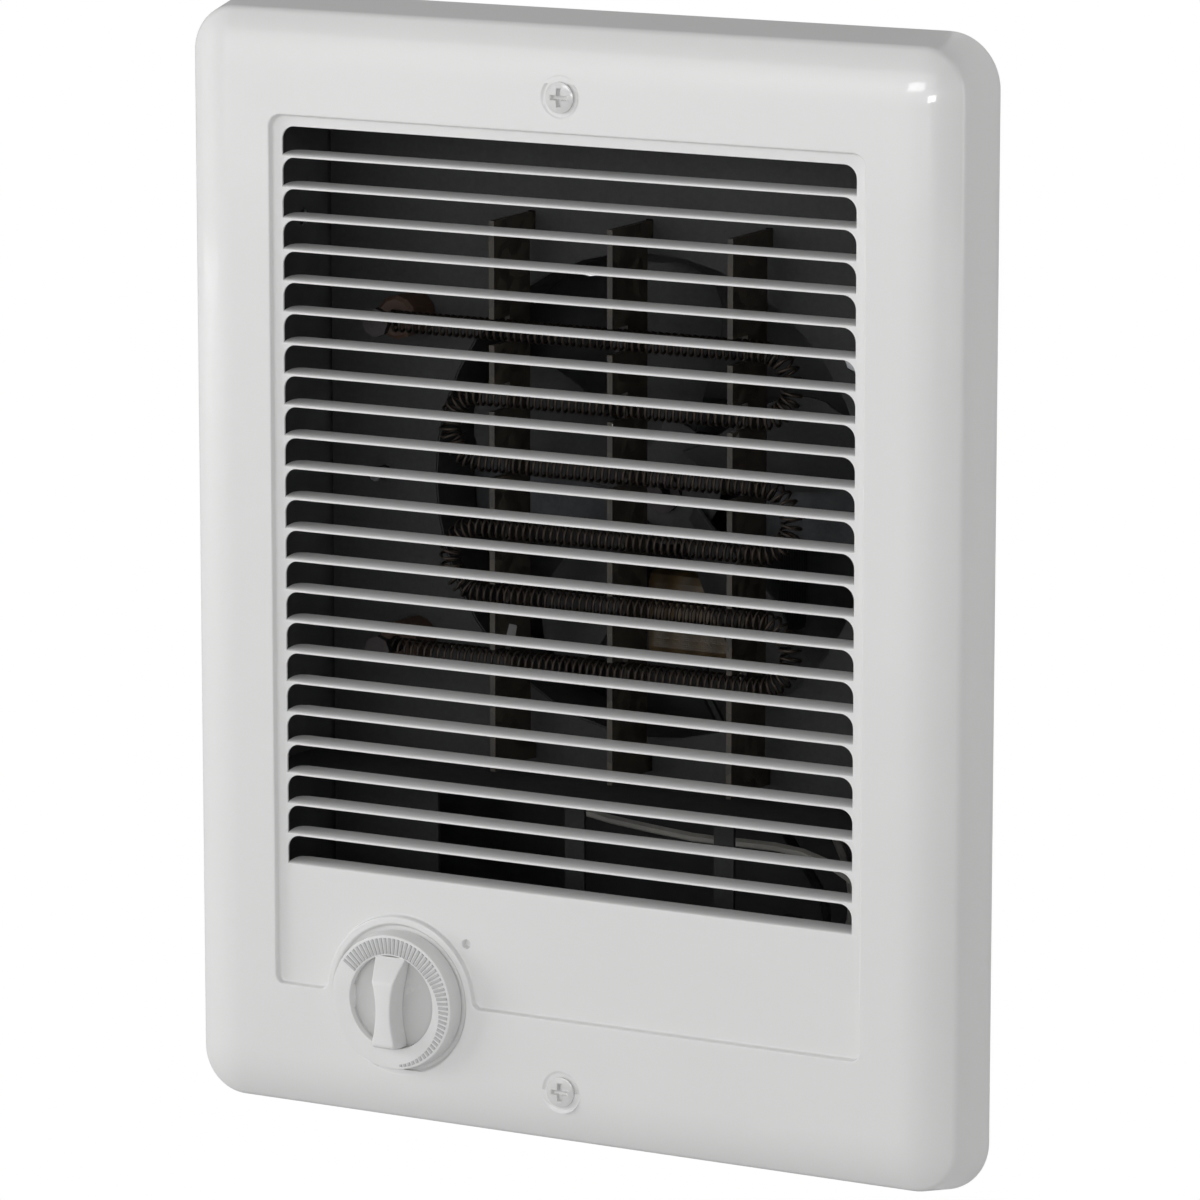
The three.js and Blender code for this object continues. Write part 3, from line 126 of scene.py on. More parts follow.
class KnobSizes(bpy.types.PropertyGroup):
    """Thermostat knob and its seat, in millimetres."""
    from_recess: FloatProperty(name="From the recess", default=38.7,
                               description="Left edge of the recess to the knob's axis")
    radius: FloatProperty(name="Radius", description="Back edge of the ring", default=19.0)
    front_radius: FloatProperty(name="Front radius", default=18.5,
                                description="Front edge of the ring")
    proud: FloatProperty(name="Proud", description="Ring in front of the face", default=4.5)
    dish_radius: FloatProperty(name="Dish radius", description="Hollow of the ring",
                               default=12.8)
    dish_depth: FloatProperty(name="Dish depth", description="Ring to the dish floor",
                              default=2.3)
    grip_proud: FloatProperty(name="Grip proud", description="Grip in front of the ring",
                              default=4.5)
    seat_radius: FloatProperty(name="Seat radius", description="Pressed seat in the face",
                               default=20.4)
    seat_depth: FloatProperty(name="Seat depth", description="Face to the seat",
                              default=1.2)
    boss_radius: FloatProperty(name="Boss radius", description="Edge of the boss",
                               default=22.7)
    tick_step: FloatProperty(name="Tick step", description="Degrees between marks",
                             default=4.5)
    tick_count: IntProperty(name="Ticks", description="Raised marks on the ring",
                            default=51)


class FinishColours(bpy.types.PropertyGroup):
    """Colours that a user would change, linear."""
    paint: FloatVectorProperty(name="Paint", description="Powder coat of the grille",
                               subtype="COLOR", default=(0.80, 0.80, 0.795), min=0, max=1)
    plastic: FloatVectorProperty(name="Plastic", description="Knob", subtype="COLOR",
                                 default=(0.80, 0.80, 0.795), min=0, max=1)
    # The marks are coloured darker than the knob: painted shade around the raised marks.
    marks: FloatVectorProperty(name="Marks", description="Raised marks of the ring",
                               subtype="COLOR", default=(0.52, 0.52, 0.52), min=0, max=1)


class StudioSettings(bpy.types.PropertyGroup):
    """Camera, lights and backdrop."""
    aim: FloatVectorProperty(name="Aim", description="Point the camera looks at",
                             subtype="TRANSLATION", default=(0.0110, -0.0173, -0.0006))
    distance: FloatProperty(name="Distance", description="Camera to the aim", unit="LENGTH",
                            default=1.828)
    azimuth: FloatProperty(name="Azimuth", default=28.85,
                           description="Camera to the right of square on, degrees")
    elevation: FloatProperty(name="Elevation", description="Camera above the aim, degrees",
                             default=10.9)
    lens: FloatProperty(name="Lens", description="Focal length in millimetres",
                        default=208.9)
    ambient: FloatProperty(name="Ambient", description="Even light of the studio",
                           default=0.300)
    key: FloatProperty(name="Key", description="Soft front light, watts", default=22.6)
    board: FloatVectorProperty(name="Board", subtype="XYZ", default=(0.050, 0.33, 0.001),
                               description="Width, height and thickness of the wall board")
    floor_drop: FloatProperty(name="Floor drop", description="Grille to the floor",
                              unit="LENGTH", default=0.08)


class HeaterSettings(bpy.types.PropertyGroup):
    """All the sizes and colours of the heater."""
    grille: PointerProperty(type=GrilleSizes)
    knob: PointerProperty(type=KnobSizes)
    colours: PointerProperty(type=FinishColours)
    studio: PointerProperty(type=StudioSettings)


# ------------------------------------------------------------------ shader maths

class Wire:
    """A socket that takes part in arithmetic; each step adds a Math node."""

    def __init__(self, shader, socket):
        self.shader = shader
        self.socket = socket

    def _math(self, operation, first, second, clamp=False):
        settings = {"operation": operation, "use_clamp": clamp}
        return self.shader.node("ShaderNodeMath", settings, {0: first, 1: second})[0]

    def __add__(self, other):
        return self._math("ADD", self, other)

    def __radd__(self, other):
        return self._math("ADD", other, self)

    def __sub__(self, other):
        return self._math("SUBTRACT", self, other)

    def __rsub__(self, other):
        return self._math("SUBTRACT", other, self)

    def __mul__(self, other):
        return self._math("MULTIPLY", self, other)

    def __rmul__(self, other):
        return self._math("MULTIPLY", other, self)

    def above(self, edge, soft):
        """0 below edge, 1 above it, with a soft step between."""
        return self._math("MULTIPLY", self - edge, 1 / soft, clamp=True)


class Shader:
    """A material with one Principled surface."""

    def __init__(self, name):
        self.material = bpy.data.materials.new(name)
        self.material.use_nodes = True
        self.tree = self.material.node_tree
        self.tree.nodes.clear()
        self.surface = self.node("ShaderNodeBsdfPrincipled", {}, {}, whole=True)
        output = self.node("ShaderNodeOutputMaterial", {}, {}, whole=True)
        self.tree.links.new(self.surface.outputs[0], output.inputs["Surface"])
        self.place = self.node("ShaderNodeTexCoord")["Object"]

    def node(self, kind, settings=(), values=(), whole=False):
        """Adds a node: its settings first, then the values or links of its sockets."""
        made = self.tree.nodes.new(kind)
        for key, value in dict(settings).items():
            if key == "stops":
                ramp = made.color_ramp
                for (position, shade), stop in zip(
                        value, [ramp.elements[0], ramp.elements[1]]
                        + [ramp.elements.new(0.5) for _ in value[2:]]):
                    stop.position = position
                    stop.color = (*shade, 1.0)
            else:
                setattr(made, key, value)
        for key, value in dict(values).items():
            self.fill(made.inputs[key], value)
        if whole:
            return made
        return {**{i: Wire(self, s) for i, s in enumerate(made.outputs)},
                **{s.name: Wire(self, s) for s in made.outputs if s.enabled}}

    def fill(self, socket, value):
        """Sets or links one socket."""
        if isinstance(value, Wire):
            self.tree.links.new(value.socket, socket)
        elif socket.type == "RGBA" and len(value) == 3:
            socket.default_value = (*value, 1.0)
        else:
            socket.default_value = value

    def set(self, **sockets):
        """Sets or links sockets of the surface, with _ for a space."""
        for key, value in sockets.items():
            self.fill(self.surface.inputs[key.replace("_", " ")], value)

    def noise(self, scale, detail=3.0, stretch=None):
        """Noise between 0 and 1; scale is features per metre."""
        where = self.place
        if stretch:
            where = self.node("ShaderNodeVectorMath", {"operation": "MULTIPLY"},
                              {0: where, 1: stretch})[0]
        return self.node("ShaderNodeTexNoise", {}, {
            "Vector": where, "Scale": scale, "Detail": detail, "Roughness": 0.55})[0]

    def cells(self, scale, feature="F1", output="Distance"):
        """Irregular cells; scale is cells per metre."""
        return self.node("ShaderNodeTexVoronoi", {"feature": feature},
                         {"Vector": self.place, "Scale": scale})[output]

    def bands(self, axis, scale, distortion=0.0):
        """Soft bands that follow each other along an axis."""
        return self.node("ShaderNodeTexWave",
                         {"wave_type": "BANDS", "bands_direction": axis},
                         {"Vector": self.place, "Scale": scale,
                          "Distortion": distortion})[1]

    def mix(self, factor, first, second):
        """A colour between two."""
        return Wire(self, self.node("ShaderNodeMix", {"data_type": "RGBA"},
                    {0: factor, 6: first, 7: second}, whole=True).outputs[2])

    def ramp(self, factor, *stops):
        """A colour from stops, each a position and a colour."""
        return self.node("ShaderNodeValToRGB", {"stops": stops}, {0: factor})[0]

    def bump(self, height, distance, strength, below=None):
        """A normal from a height map, over another one if there is one below."""
        values = {"Height": height, "Distance": distance, "Strength": strength}
        if below:
            values["Normal"] = below
        return self.node("ShaderNodeBump", {}, values)[0]

    def within(self, low, high):
        """1 inside a box given by its corners, 0 outside it."""
        axes = self.node("ShaderNodeSeparateXYZ", {}, {0: self.place})
        mask = 1.0
        for axis in range(3):
            mask = mask * self.node("ShaderNodeMath", {"operation": "COMPARE"},
                                    {0: axes[axis], 1: (low[axis] + high[axis]) / 2,
                                     2: (high[axis] - low[axis]) / 2})[0]
        return mask

    def worn_edges(self):
        """1 on convex edges, broken up by noise."""
        pointiness = self.node("ShaderNodeNewGeometry")["Pointiness"]
        return pointiness.above(0.52, 0.06) * self.noise(900).above(0.35, 0.3)


# ------------------------------------------------------------------ finishes

def tone(colour, factor):
    """A colour made darker or lighter."""
    return tuple(min(1.0, c * factor) for c in colour)


def powder_coat(name, colour, gloss=0.30, peel=0.10):
    """Smooth baked powder coat: faint orange peel, fine specks, slightly uneven gloss."""
    s = Shader(name)
    cloud = s.noise(14, 4)
    specks = s.noise(2600, 2).above(0.70, 0.08)
    base = s.mix(cloud.above(0.35, 0.4), tone(colour, 0.985), tone(colour, 1.01))
    s.set(Base_Color=s.mix(specks * 0.10, base, tone(colour, 0.80)),
          Roughness=gloss + (s.noise(60, 5) - 0.5) * 0.10,
          Normal=s.bump(s.noise(420, 2), 0.00012 * peel, 0.6,
                        s.bump(s.noise(3200, 2), 0.000012, 0.5)))
    s.surface.inputs["Coat Weight"].default_value = 0.6
    s.surface.inputs["Coat Roughness"].default_value = 0.05
    s.surface.inputs["Specular IOR Level"].default_value = 0.5
    return s.material


def satin_plastic(name, colour, rough=0.42, painted_shade_box=None):
    """Moulded plastic: fine spark-eroded grain, faint flow clouds, rubbed edges.

    The optional box, given by its corners in metres, marks faces painted darker and greyer
    as painted shade."""
    s, grain = Shader(name), 0.00002
    flow = s.noise(35, 3, stretch=(1.0, 0.4, 1.0))
    base = s.mix(flow.above(0.3, 0.45), tone(colour, 0.96), tone(colour, 1.02))
    if painted_shade_box:
        # Painted shade: faces inside the box are coloured darker, for the shade in the
        # knob's dish.
        base = s.mix(s.within(*painted_shade_box) * 0.9, base, tone(colour, 0.74))
    s.set(Base_Color=s.mix(s.worn_edges() * 0.25, base, tone(colour, 1.08)),
          Roughness=rough + (s.noise(240, 4) - 0.5) * 0.14,
          Normal=s.bump(s.noise(1900, 3), grain, 0.7))
    s.surface.inputs["Specular IOR Level"].default_value = 0.45
    return s.material


def galvanised(name, colour, inner_shade_box):
    """Zinc-coated sheet: spangle crystals of slightly different greys and gloss.

    Faces inside the box of the last argument, given by its corners in metres, are painted
    near black: painted shade inside the can."""
    s = Shader(name)
    inner_shade = s.within(*inner_shade_box)
    cell = s.cells(130, output="Color")
    grey = s.node("ShaderNodeSeparateColor", {}, {0: cell})
    crystal = grey[0] * 0.7 + s.noise(420, 3) * 0.3
    frost = s.cells(420, "DISTANCE_TO_EDGE").above(0.02, 0.10)
    zinc = s.ramp(crystal, (0.1, tone(colour, 0.62)), (0.55, tone(colour, 0.88)),
                  (0.9, tone(colour, 1.12)))
    # Painted shade: inside the can the colour goes near black, less metallic and rougher.
    s.set(Base_Color=s.mix(inner_shade * (0.88 + s.noise(40, 4) * 0.12), zinc,
                           (0.03, 0.03, 0.03)),
          Metallic=0.92 - inner_shade * 0.7, Roughness=0.30 + crystal * 0.24 + inner_shade * 0.3,
          Normal=s.bump(frost, 0.00003, 0.35, s.bump(crystal, 0.00004, 0.3)))
    return s.material


def brushed_metal(name, colour, rough=0.30, axis=(1.0, 22.0, 22.0), tarnish=0.25,
                  dark=0.55):
    """Worked metal: fine lines stretched by axis, stains, and brighter rubbed edges.

    tarnish is how strong the stains are, and dark their tone."""
    s = Shader(name)
    lines = s.noise(700, 2, stretch=axis)
    stain = s.noise(60, 5).above(0.42, 0.35) * tarnish
    base = s.mix(stain, s.mix(lines, tone(colour, 0.86), tone(colour, 1.08)),
                 tone(colour, dark))
    s.set(Base_Color=s.mix(s.worn_edges() * 0.5, base, tone(colour, 1.25)),
          Metallic=1.0, Roughness=rough + (lines - 0.5) * 0.16 + stain * 0.3,
          Normal=s.bump(lines, 0.00001, 0.4))
    return s.material


def matt_paint(name, colour):
    """Thin heat-proof matt paint: dry grain and dusty patches."""
    s = Shader(name)
    dust = s.noise(30, 6).above(0.50, 0.3) * 0.35
    base = s.mix(s.noise(800, 3), tone(colour, 0.75), tone(colour, 1.3))
    s.set(Base_Color=s.mix(dust, base, tone(colour, 1.9)),
          Roughness=0.72 + (s.noise(300, 3) - 0.5) * 0.16,
          Normal=s.bump(s.noise(1400, 4), 0.00004, 0.6))
    return s.material


def ceramic(name, colour):
    """Steatite painted dark brown as painted shade behind the louvres: fine dark specks,
    faint clouds and a dry sheen.
    """
    s = Shader(name)
    specks = s.noise(1500, 4).above(0.60, 0.14)
    base = s.mix(s.noise(90, 3), tone(colour, 0.92), tone(colour, 1.04))
    s.set(Base_Color=s.mix(specks * 0.35, base, tone(colour, 0.6)),
          Roughness=0.52 + specks * 0.2, Normal=s.bump(s.noise(1100, 4), 0.00004, 0.5))
    return s.material


def mica(name, colour):
    """Pressed mica board, painted near black as painted shade behind the louvres:
    overlapping flakes of uneven tone and gloss.
    """
    s = Shader(name)
    flake = s.node("ShaderNodeSeparateColor", {}, {0: s.cells(260, output="Color")})[0]
    edge = s.cells(260, "DISTANCE_TO_EDGE").above(0.0, 0.06)
    s.set(Base_Color=s.ramp(flake, (0.0, tone(colour, 0.55)), (0.5, colour),
                            (1.0, tone(colour, 1.5))),
          Roughness=0.28 + flake * 0.35, Metallic=0.15,
          Normal=s.bump(edge, 0.00005, 0.5))
    return s.material


def resistance_wire(name, colour):
    """Oxidised nichrome, darker still as painted shade behind the louvres: mottled dark
    scale with brown patches.
    """
    s = Shader(name)
    scale = s.noise(500, 4)
    s.set(Base_Color=s.ramp(scale, (0.3, tone(colour, 0.5)), (0.55, colour),
                            (0.75, (0.085, 0.065, 0.05))),
          Metallic=0.85, Roughness=0.42 + scale * 0.25,
          Normal=s.bump(scale, 0.00002, 0.4))
    return s.material


def laminations(name, colour):
    """Stacked electrical steel: sheet edges along the stack and a thin oxide."""
    s = Shader(name)
    sheets = s.bands("Y", 320)
    rust = s.noise(120, 5).above(0.58, 0.2) * 0.4
    base = s.mix(sheets, tone(colour, 0.45), tone(colour, 1.35))
    s.set(Base_Color=s.mix(rust, base, (0.16, 0.08, 0.045)), Metallic=0.7,
          Roughness=0.42 + rust * 0.4, Normal=s.bump(sheets, 0.00009, 0.8))
    return s.material


def wound_tape(name, colour):
    """Varnished cotton tape: overlapping turns with a woven texture."""
    s = Shader(name)
    turns = s.bands("X", 42, 0.4)
    weave = s.bands("Z", 560) * s.bands("X", 560)
    base = s.mix(turns, tone(colour, 0.62), tone(colour, 1.05))
    s.set(Base_Color=s.mix(s.noise(220, 4).above(0.55, 0.25) * 0.4, base,
                           tone(colour, 0.5)),
          Roughness=0.40 + weave * 0.2,
          Normal=s.bump(weave, 0.00006, 0.6, s.bump(turns, 0.0004, 0.8)))
    s.surface.inputs["Coat Weight"].default_value = 0.3
    return s.material


def phenolic(name, colour):
    """Moulded phenolic: near black with brown filler flecks and an uneven gloss."""
    s = Shader(name)
    flecks = s.noise(900, 3).above(0.62, 0.1)
    s.set(Base_Color=s.mix(flecks * 0.5, colour, (0.09, 0.055, 0.03)),
          Roughness=0.30 + s.noise(160, 4) * 0.2,
          Normal=s.bump(s.noise(700, 3), 0.00003, 0.4))
    return s.material


def lead_insulation(name, colour):
    """Extruded wire insulation: mottled colour, fine grain and a waxy gloss."""
    s = Shader(name)
    mottle = s.noise(300, 3)
    s.set(Base_Color=s.mix(mottle, tone(colour, 0.8), tone(colour, 1.15)),
          Roughness=0.36 + mottle * 0.12, Normal=s.bump(s.noise(1500, 2), 0.00002, 0.4))
    return s.material


def rubber(name, colour):
    """Moulded rubber: dull bloom over black."""
    s = Shader(name)
    bloom = s.noise(140, 5).above(0.45, 0.4)
    s.set(Base_Color=s.mix(bloom * 0.5, colour, tone(colour, 2.6)),
          Roughness=0.7 + bloom * 0.15, Normal=s.bump(s.noise(1300, 4), 0.00006, 0.5))
    return s.material


def can_inside():
    """The corners of the wall can's inside, just within its sheet."""
    low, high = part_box("wall_can")
    sheet, ear = 0.0008, CAN_EAR * MM
    return (Vector((low.x + sheet, low.y - sheet, low.z + ear + sheet)),
            Vector((high.x - sheet, high.y - sheet, high.z - ear - sheet)))


def finishes(colours):
    """The finish of every slot of the record."""
    return {
        "white_paint": powder_coat("white_paint_finish", tuple(colours.paint)),
        "white_plastic": satin_plastic("white_plastic_finish", tuple(colours.plastic)),
        # The can's inside is painted near black here, as painted shade.
        "galvanised": galvanised("galvanised_finish", (0.62, 0.64, 0.66), can_inside()),
        # Black paint of the deck and the fan: partly their own paint, partly painted shade
        # behind the louvres.
        "black_paint": matt_paint("black_paint_finish", (0.030, 0.030, 0.031)),
        "zinc_steel": brushed_metal("zinc_steel_finish", (0.34, 0.345, 0.36)),
        # Painted shade: near black steel and zinc for pieces behind the louvres.
        "shaded_steel": brushed_metal("heat_blued_finish", (0.055, 0.05, 0.05), 0.55),
        "shaded_zinc": brushed_metal("dull_zinc_finish", (0.075, 0.078, 0.082), 0.6,
                                   tarnish=0.5),
        "aluminium": brushed_metal("aluminium_finish", (0.30, 0.305, 0.31), 0.44,
                                   (14.0, 1.0, 14.0), 0.12),
        "brass": brushed_metal("brass_finish", (0.72, 0.53, 0.25), 0.28, tarnish=0.4),
        "bronze": brushed_metal("bronze_finish", (0.48, 0.31, 0.15), 0.48,
                                (3.0, 3.0, 3.0), 0.5, 0.4),
        # Painted shade: the mica is far darker than real mica, to sit dark behind the
        # louvres.
        "mica": mica("mica_finish", (0.042, 0.036, 0.028)),
        # Painted shade: the steatite is dark brown, to sit dark behind the louvres.
        "ceramic": ceramic("ceramic_finish", (0.075, 0.042, 0.028)),
        # Partly real oxide, partly painted shade: the coil is kept dark behind the louvres.
        "nichrome": resistance_wire("nichrome_finish", (0.07, 0.065, 0.062)),
        "laminations": laminations("laminations_finish", (0.10, 0.105, 0.115)),
        "winding_tape": wound_tape("winding_tape_finish", (0.11, 0.075, 0.035)),
        "phenolic": phenolic("phenolic_finish", (0.022, 0.019, 0.017)),
        "red_plastic": satin_plastic("red_plastic_finish", (0.52, 0.03, 0.02), 0.3),
        "green_steel": brushed_metal("green_steel_finish", (0.07, 0.30, 0.12), 0.32),
        "black_rubber": rubber("black_rubber_finish", (0.018, 0.018, 0.018)),
        "red_lead": lead_insulation("red_lead_finish", (0.45, 0.035, 0.025)),
        "black_lead": lead_insulation("black_lead_finish", (0.02, 0.02, 0.022)),
        "white_lead": lead_insulation("white_lead_finish", (0.42, 0.41, 0.38)),
    }


# ------------------------------------------------------------------ mesh tools

def arc(centre, radius, start, end, steps):
    """Points of an arc in the XZ plane, angles in degrees, both ends included."""
    return [(centre[0] + radius * math.cos(math.radians(start + (end - start) * i / steps)),
             centre[1] + radius * math.sin(math.radians(start + (end - start) * i / steps)))
            for i in range(steps + 1)]


class Sheet:
    """Collects faces in millimetres; shared points are merged at the end."""

    def __init__(self):
        self.points = []
        self.faces = []

    def ring(self, points):
        """Adds points and returns their numbers."""
        first = len(self.points)
        self.points.extend(points)
        return list(range(first, len(self.points)))

    def bridge(self, low, high, closed=True):
        """Joins two rings of the same count with a strip of faces."""
        count = len(low)
        for i in range(count if closed else count - 1):
            j = (i + 1) % count
            self.faces.append((low[i], low[j], high[j], high[i]))

    def grid(self, rows, closed=False):
        """Adds rows of points and joins each to the next."""
        rings = [self.ring(row) for row in rows]
        for low, high in zip(rings, rings[1:]):
            self.bridge(low, high, closed)
        return rings

    def fill(self, outer, holes, y):
        """A flat region in the XZ plane at y, facing the room, with holes cut out."""
        loops = [outer, *holes]
        flat, edges = [], []
        for loop in loops:
            first = len(flat)
            flat.extend(Vector(p) for p in loop)
            edges += [(first + i, first + (i + 1) % len(loop)) for i in range(len(loop))]
        points, _, faces, _, _, _ = delaunay_2d_cdt(flat, edges, [], 0, 1e-5)
        centres = np.array([sum((points[i] for i in f), Vector((0, 0))) / 3 for f in faces])
        keep = inside(centres, outer)
        for hole in holes:
            keep &= ~inside(centres, hole)
        first = len(self.points)
        self.points.extend((p.x, y, p.y) for p in points)
        for f, kept in zip(faces, keep):
            if kept:
                a, b, c = f
                turn = (points[b] - points[a]).cross(points[c] - points[a])
                order = (a, b, c) if turn > 0 else (a, c, b)
                self.faces.append(tuple(first + i for i in order))

    def mesh(self, name, merge=1e-3):
        """The collected faces as a mesh in metres."""
        bm = bmesh.new()
        points = [bm.verts.new(Vector(p) * MM) for p in self.points]
        for face in self.faces:
            corners = [points[i] for i in face]
            if len(set(corners)) > 2 and not bm.faces.get(corners):
                bm.faces.new(corners)
        bmesh.ops.remove_doubles(bm, verts=bm.verts, dist=merge * MM)
        bmesh.ops.dissolve_degenerate(bm, edges=bm.edges, dist=1e-7)
        loose = [v for v in bm.verts if not v.link_faces]
        bmesh.ops.delete(bm, geom=loose, context="VERTS")
        mesh = bpy.data.meshes.new(name)
        bm.to_mesh(mesh)
        bm.free()
        return mesh


def inside(points, loop):
    """Which points lie in the loop, by crossings."""
    corners = np.array([tuple(p) for p in loop])
    after = np.roll(corners, -1, axis=0)
    found = np.zeros(len(points), bool)
    for (x0, z0), (x1, z1) in zip(corners, after):
        spans = (z0 > points[:, 1]) != (z1 > points[:, 1])
        if z1 != z0:
            crossing = (x1 - x0) * (points[:, 1] - z0) / (z1 - z0) + x0
            found ^= spans & (points[:, 0] < crossing)
    return found


def turned(profile, steps, centre):
    """Rows of points turned about an axis along Y; the profile runs in radius and Y."""
    return [[(centre[0] + r * math.sin(2 * math.pi * i / steps), y,
              centre[1] + r * math.cos(2 * math.pi * i / steps)) for i in range(steps)]
            for r, y in profile]


def step_profile(fall, radius, slope):
    """A pressed step as (run, fall) pairs: two bends and a straight between them.

    radius is that of the bends, and slope that of the straight, in degrees."""
    angle, steps = math.radians(slope), 4
    straight = (fall - 2 * radius * (1 - math.cos(angle))) / math.sin(angle)
    bends = [(radius * math.sin(angle * i / steps),
              radius * (1 - math.cos(angle * i / steps))) for i in range(steps + 1)]
    run = 2 * bends[-1][0] + straight * math.cos(angle)
    profile = bends + [(run - x, fall - y) for x, y in reversed(bends)]
    return [(x - run / 2, y) for x, y in profile]


def placed(name, data, finish):
    """Links an object in one finish."""
    data.materials.clear()
    data.materials.append(finish)
    piece = bpy.data.objects.new(name, data)
    bpy.context.scene.collection.objects.link(piece)
    return piece


def smoothed(mesh, sharp):
    """Shades a mesh smooth, up to a sharp angle in degrees."""
    for polygon in mesh.polygons:
        polygon.use_smooth = True
    mesh.set_sharp_from_angle(angle=math.radians(sharp))


def show(mesh, name, body, finish, replaced=(), sharp=35.0):
    """Links a finished mesh as a piece that rides on a body."""
    smoothed(mesh, sharp)
    piece = placed(name, mesh, finish)
    weighted = piece.modifiers.new("even shading", "WEIGHTED_NORMAL")
    weighted.mode = "FACE_AREA_WITH_ANGLE"
    weighted.keep_sharp = True
    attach(piece, body)
    if replaced:
        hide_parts(*replaced)


def modified(mesh, *modifiers):
    """The mesh after its modifiers, each given as a kind and its settings."""
    shape = bpy.data.objects.new("shape", mesh)
    bpy.context.scene.collection.objects.link(shape)
    for kind, settings in modifiers:
        modifier = shape.modifiers.new(kind.lower(), kind)
        for key, value in settings.items():
            setattr(modifier, key, value)
    graph = bpy.context.evaluated_depsgraph_get()
    result = bpy.data.meshes.new_from_object(shape.evaluated_get(graph))
    bpy.data.objects.remove(shape)
    return result


def ellipse_square(u, v):
    """A point of the unit disc for a point of the square from -1 to 1."""
    return u * math.sqrt(1 - v * v / 2), v * math.sqrt(1 - u * u / 2)


def smooth(value, low, high):
    """0 below low, 1 above high, with a smooth step between."""
    t = min(1.0, max(0.0, (value - low) / (high - low)))
    return t * t * (3 - 2 * t)


# ------------------------------------------------------------------ the pieces

FINISH = {}  # the finish of each slot, filled by the finishes operator

# Pieces painted darker than their slot's finish: painted shade where they sit behind the
# louvres.
NODE_FINISH = {
    "element_stud_upper": "shaded_steel", "element_stud_lower": "shaded_steel",
    "fan_retaining_nut": "shaded_steel", "motor_shaft": "shaded_steel",
    "motor_bracket": "shaded_zinc", "thermostat_bracket": "shaded_zinc",
}


def heater(context):
    """The settings of the scene's heater."""
    return context.scene.heater


def centre_of(node):
    """Middle of a CAD node's box, in millimetres."""
    low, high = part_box(node)
    return (low + high) / 2 / MM


class HEATER_OT_finishes(bpy.types.Operator):
    """Gives every carried-over piece its procedural finish"""
    bl_idname = "heater.finishes"
    bl_label = "Finishes"

    def execute(self, context):
        FINISH.update(finishes(heater(context).colours))
        for name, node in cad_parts.items():
            for slot in node.material_slots:
                slot.material = FINISH[NODE_FINISH.get(name, slot.material.name)]
            smoothed(node.data, 38)
        return {"FINISHED"}


# Radius in millimetres and slope in degrees of the bends of each pressed step.
RECESS_BEND, SEAT_BEND, DIMPLE_BEND, DOT_BEND = (0.5, 80), (0.6, 60), (0.8, 30), (0.12, 80)
# Points along the rim's corners, the boss and the small bends.
RIM_STEPS, BOSS_STEPS, BEND_STEPS, CORNER_STEPS = 20, 56, 8, 10
# Around the knob's seat, a screw's dimple and the index dot.
SEAT_STEPS, DIMPLE_STEPS, DOT_STEPS = 96, 48, 24


def pan_section(g):
    """Inset from the rim and depth of each level, from the rim to the face."""
    crown, flank = g.crown_angle, 90 - g.draft

    def bend(radius, angle):
        a = math.radians(angle)
        return radius * math.sin(a), radius * (1 - math.cos(a))

    crown_run, crown_fall = bend(g.crown_radius, crown)
    run_at_crown, fall_at_crown = bend(g.edge_radius, crown)
    edge_run, edge_fall = bend(g.edge_radius, flank)
    flank_top = -g.depth + crown_fall + edge_fall - fall_at_crown
    flank_inset = -flank_top * math.tan(math.radians(g.draft))
    face_inset = flank_inset + crown_run + edge_run - run_at_crown
    section = [(0.0, 0.0), (flank_inset * 0.5, flank_top * 0.5)]
    edge_steps, crown_steps = 8, 14
    for i in range(edge_steps + 1):
        run, fall = bend(g.edge_radius, flank + (crown - flank) * i / edge_steps)
        section.append((flank_inset + edge_run - run, flank_top - edge_fall + fall))
    for i in range(1, crown_steps + 1):
        run, fall = bend(g.crown_radius, crown * (1 - i / crown_steps))
        section.append((face_inset - run, -g.depth + fall))
    return section


def pan_ring(g, inset, half_width, half_height):
    """A level of the pan, counterclockwise seen from the room."""
    radius = g.corner - inset * g.tightening
    right, top = half_width - inset - radius, half_height - inset - radius
    corners = ((-right, -top, 180), (right, -top, 270), (right, top, 0), (-right, top, 90))
    return [point for x, z, start in corners
            for point in arc((x, z), radius, start, start + 90, RIM_STEPS)]


def recess_outline(g, knob, half, top, bottom, grow):
    """The recess, counterclockwise, moved inwards by grow."""
    low_r, top_r, fillet = g.recess_bottom_radius, g.recess_top_radius, g.boss_fillet
    x, boss = -half + knob.from_recess, knob.boss_radius
    reach = math.sqrt((boss + fillet) ** 2 - fillet ** 2)
    lean = math.degrees(math.atan2(fillet, reach))
    return (arc((-half + low_r, bottom + low_r), low_r - grow, 180, 270, BEND_STEPS)
            + arc((x - reach, bottom + fillet), fillet - grow, -90, -lean, BEND_STEPS)
            + arc((x, bottom), boss + grow, 180 - lean, lean, BOSS_STEPS)
            + arc((x + reach, bottom + fillet), fillet - grow, 180 + lean, 270, BEND_STEPS)
            + arc((half - low_r, bottom + low_r), low_r - grow, 270, 360, BEND_STEPS)
            + arc((half - top_r, top - top_r), top_r - grow, 0, 90, CORNER_STEPS)
            + arc((-half + top_r, top - top_r), top_r - grow, 90, 180, CORNER_STEPS))


def circle(centre, radius, steps):
    """A full circle, without its first point again at the end."""
    return arc(centre, radius, 0, 360 * (steps - 1) / steps, steps - 1)


def raised(loop, y):
    """A loop of the XZ plane set at y."""
    return [(x, y, z) for x, z in loop]


def dimple(sheet, centre, radius, hole, profile, face, steps):
    """A round pressing with a hole; returns its edge in the face."""
    rows = [circle(centre, radius - run, steps) for run, _ in profile]
    depths = [face + fall for _, fall in profile]
    rows.append(circle(centre, hole, steps))
    depths.append(depths[-1])
    rings = [sheet.ring(raised(row, y)) for row, y in zip(rows, depths)]
    for outer, inner in zip(rings, rings[1:]):
        sheet.bridge(outer, inner)
    return rows[0]


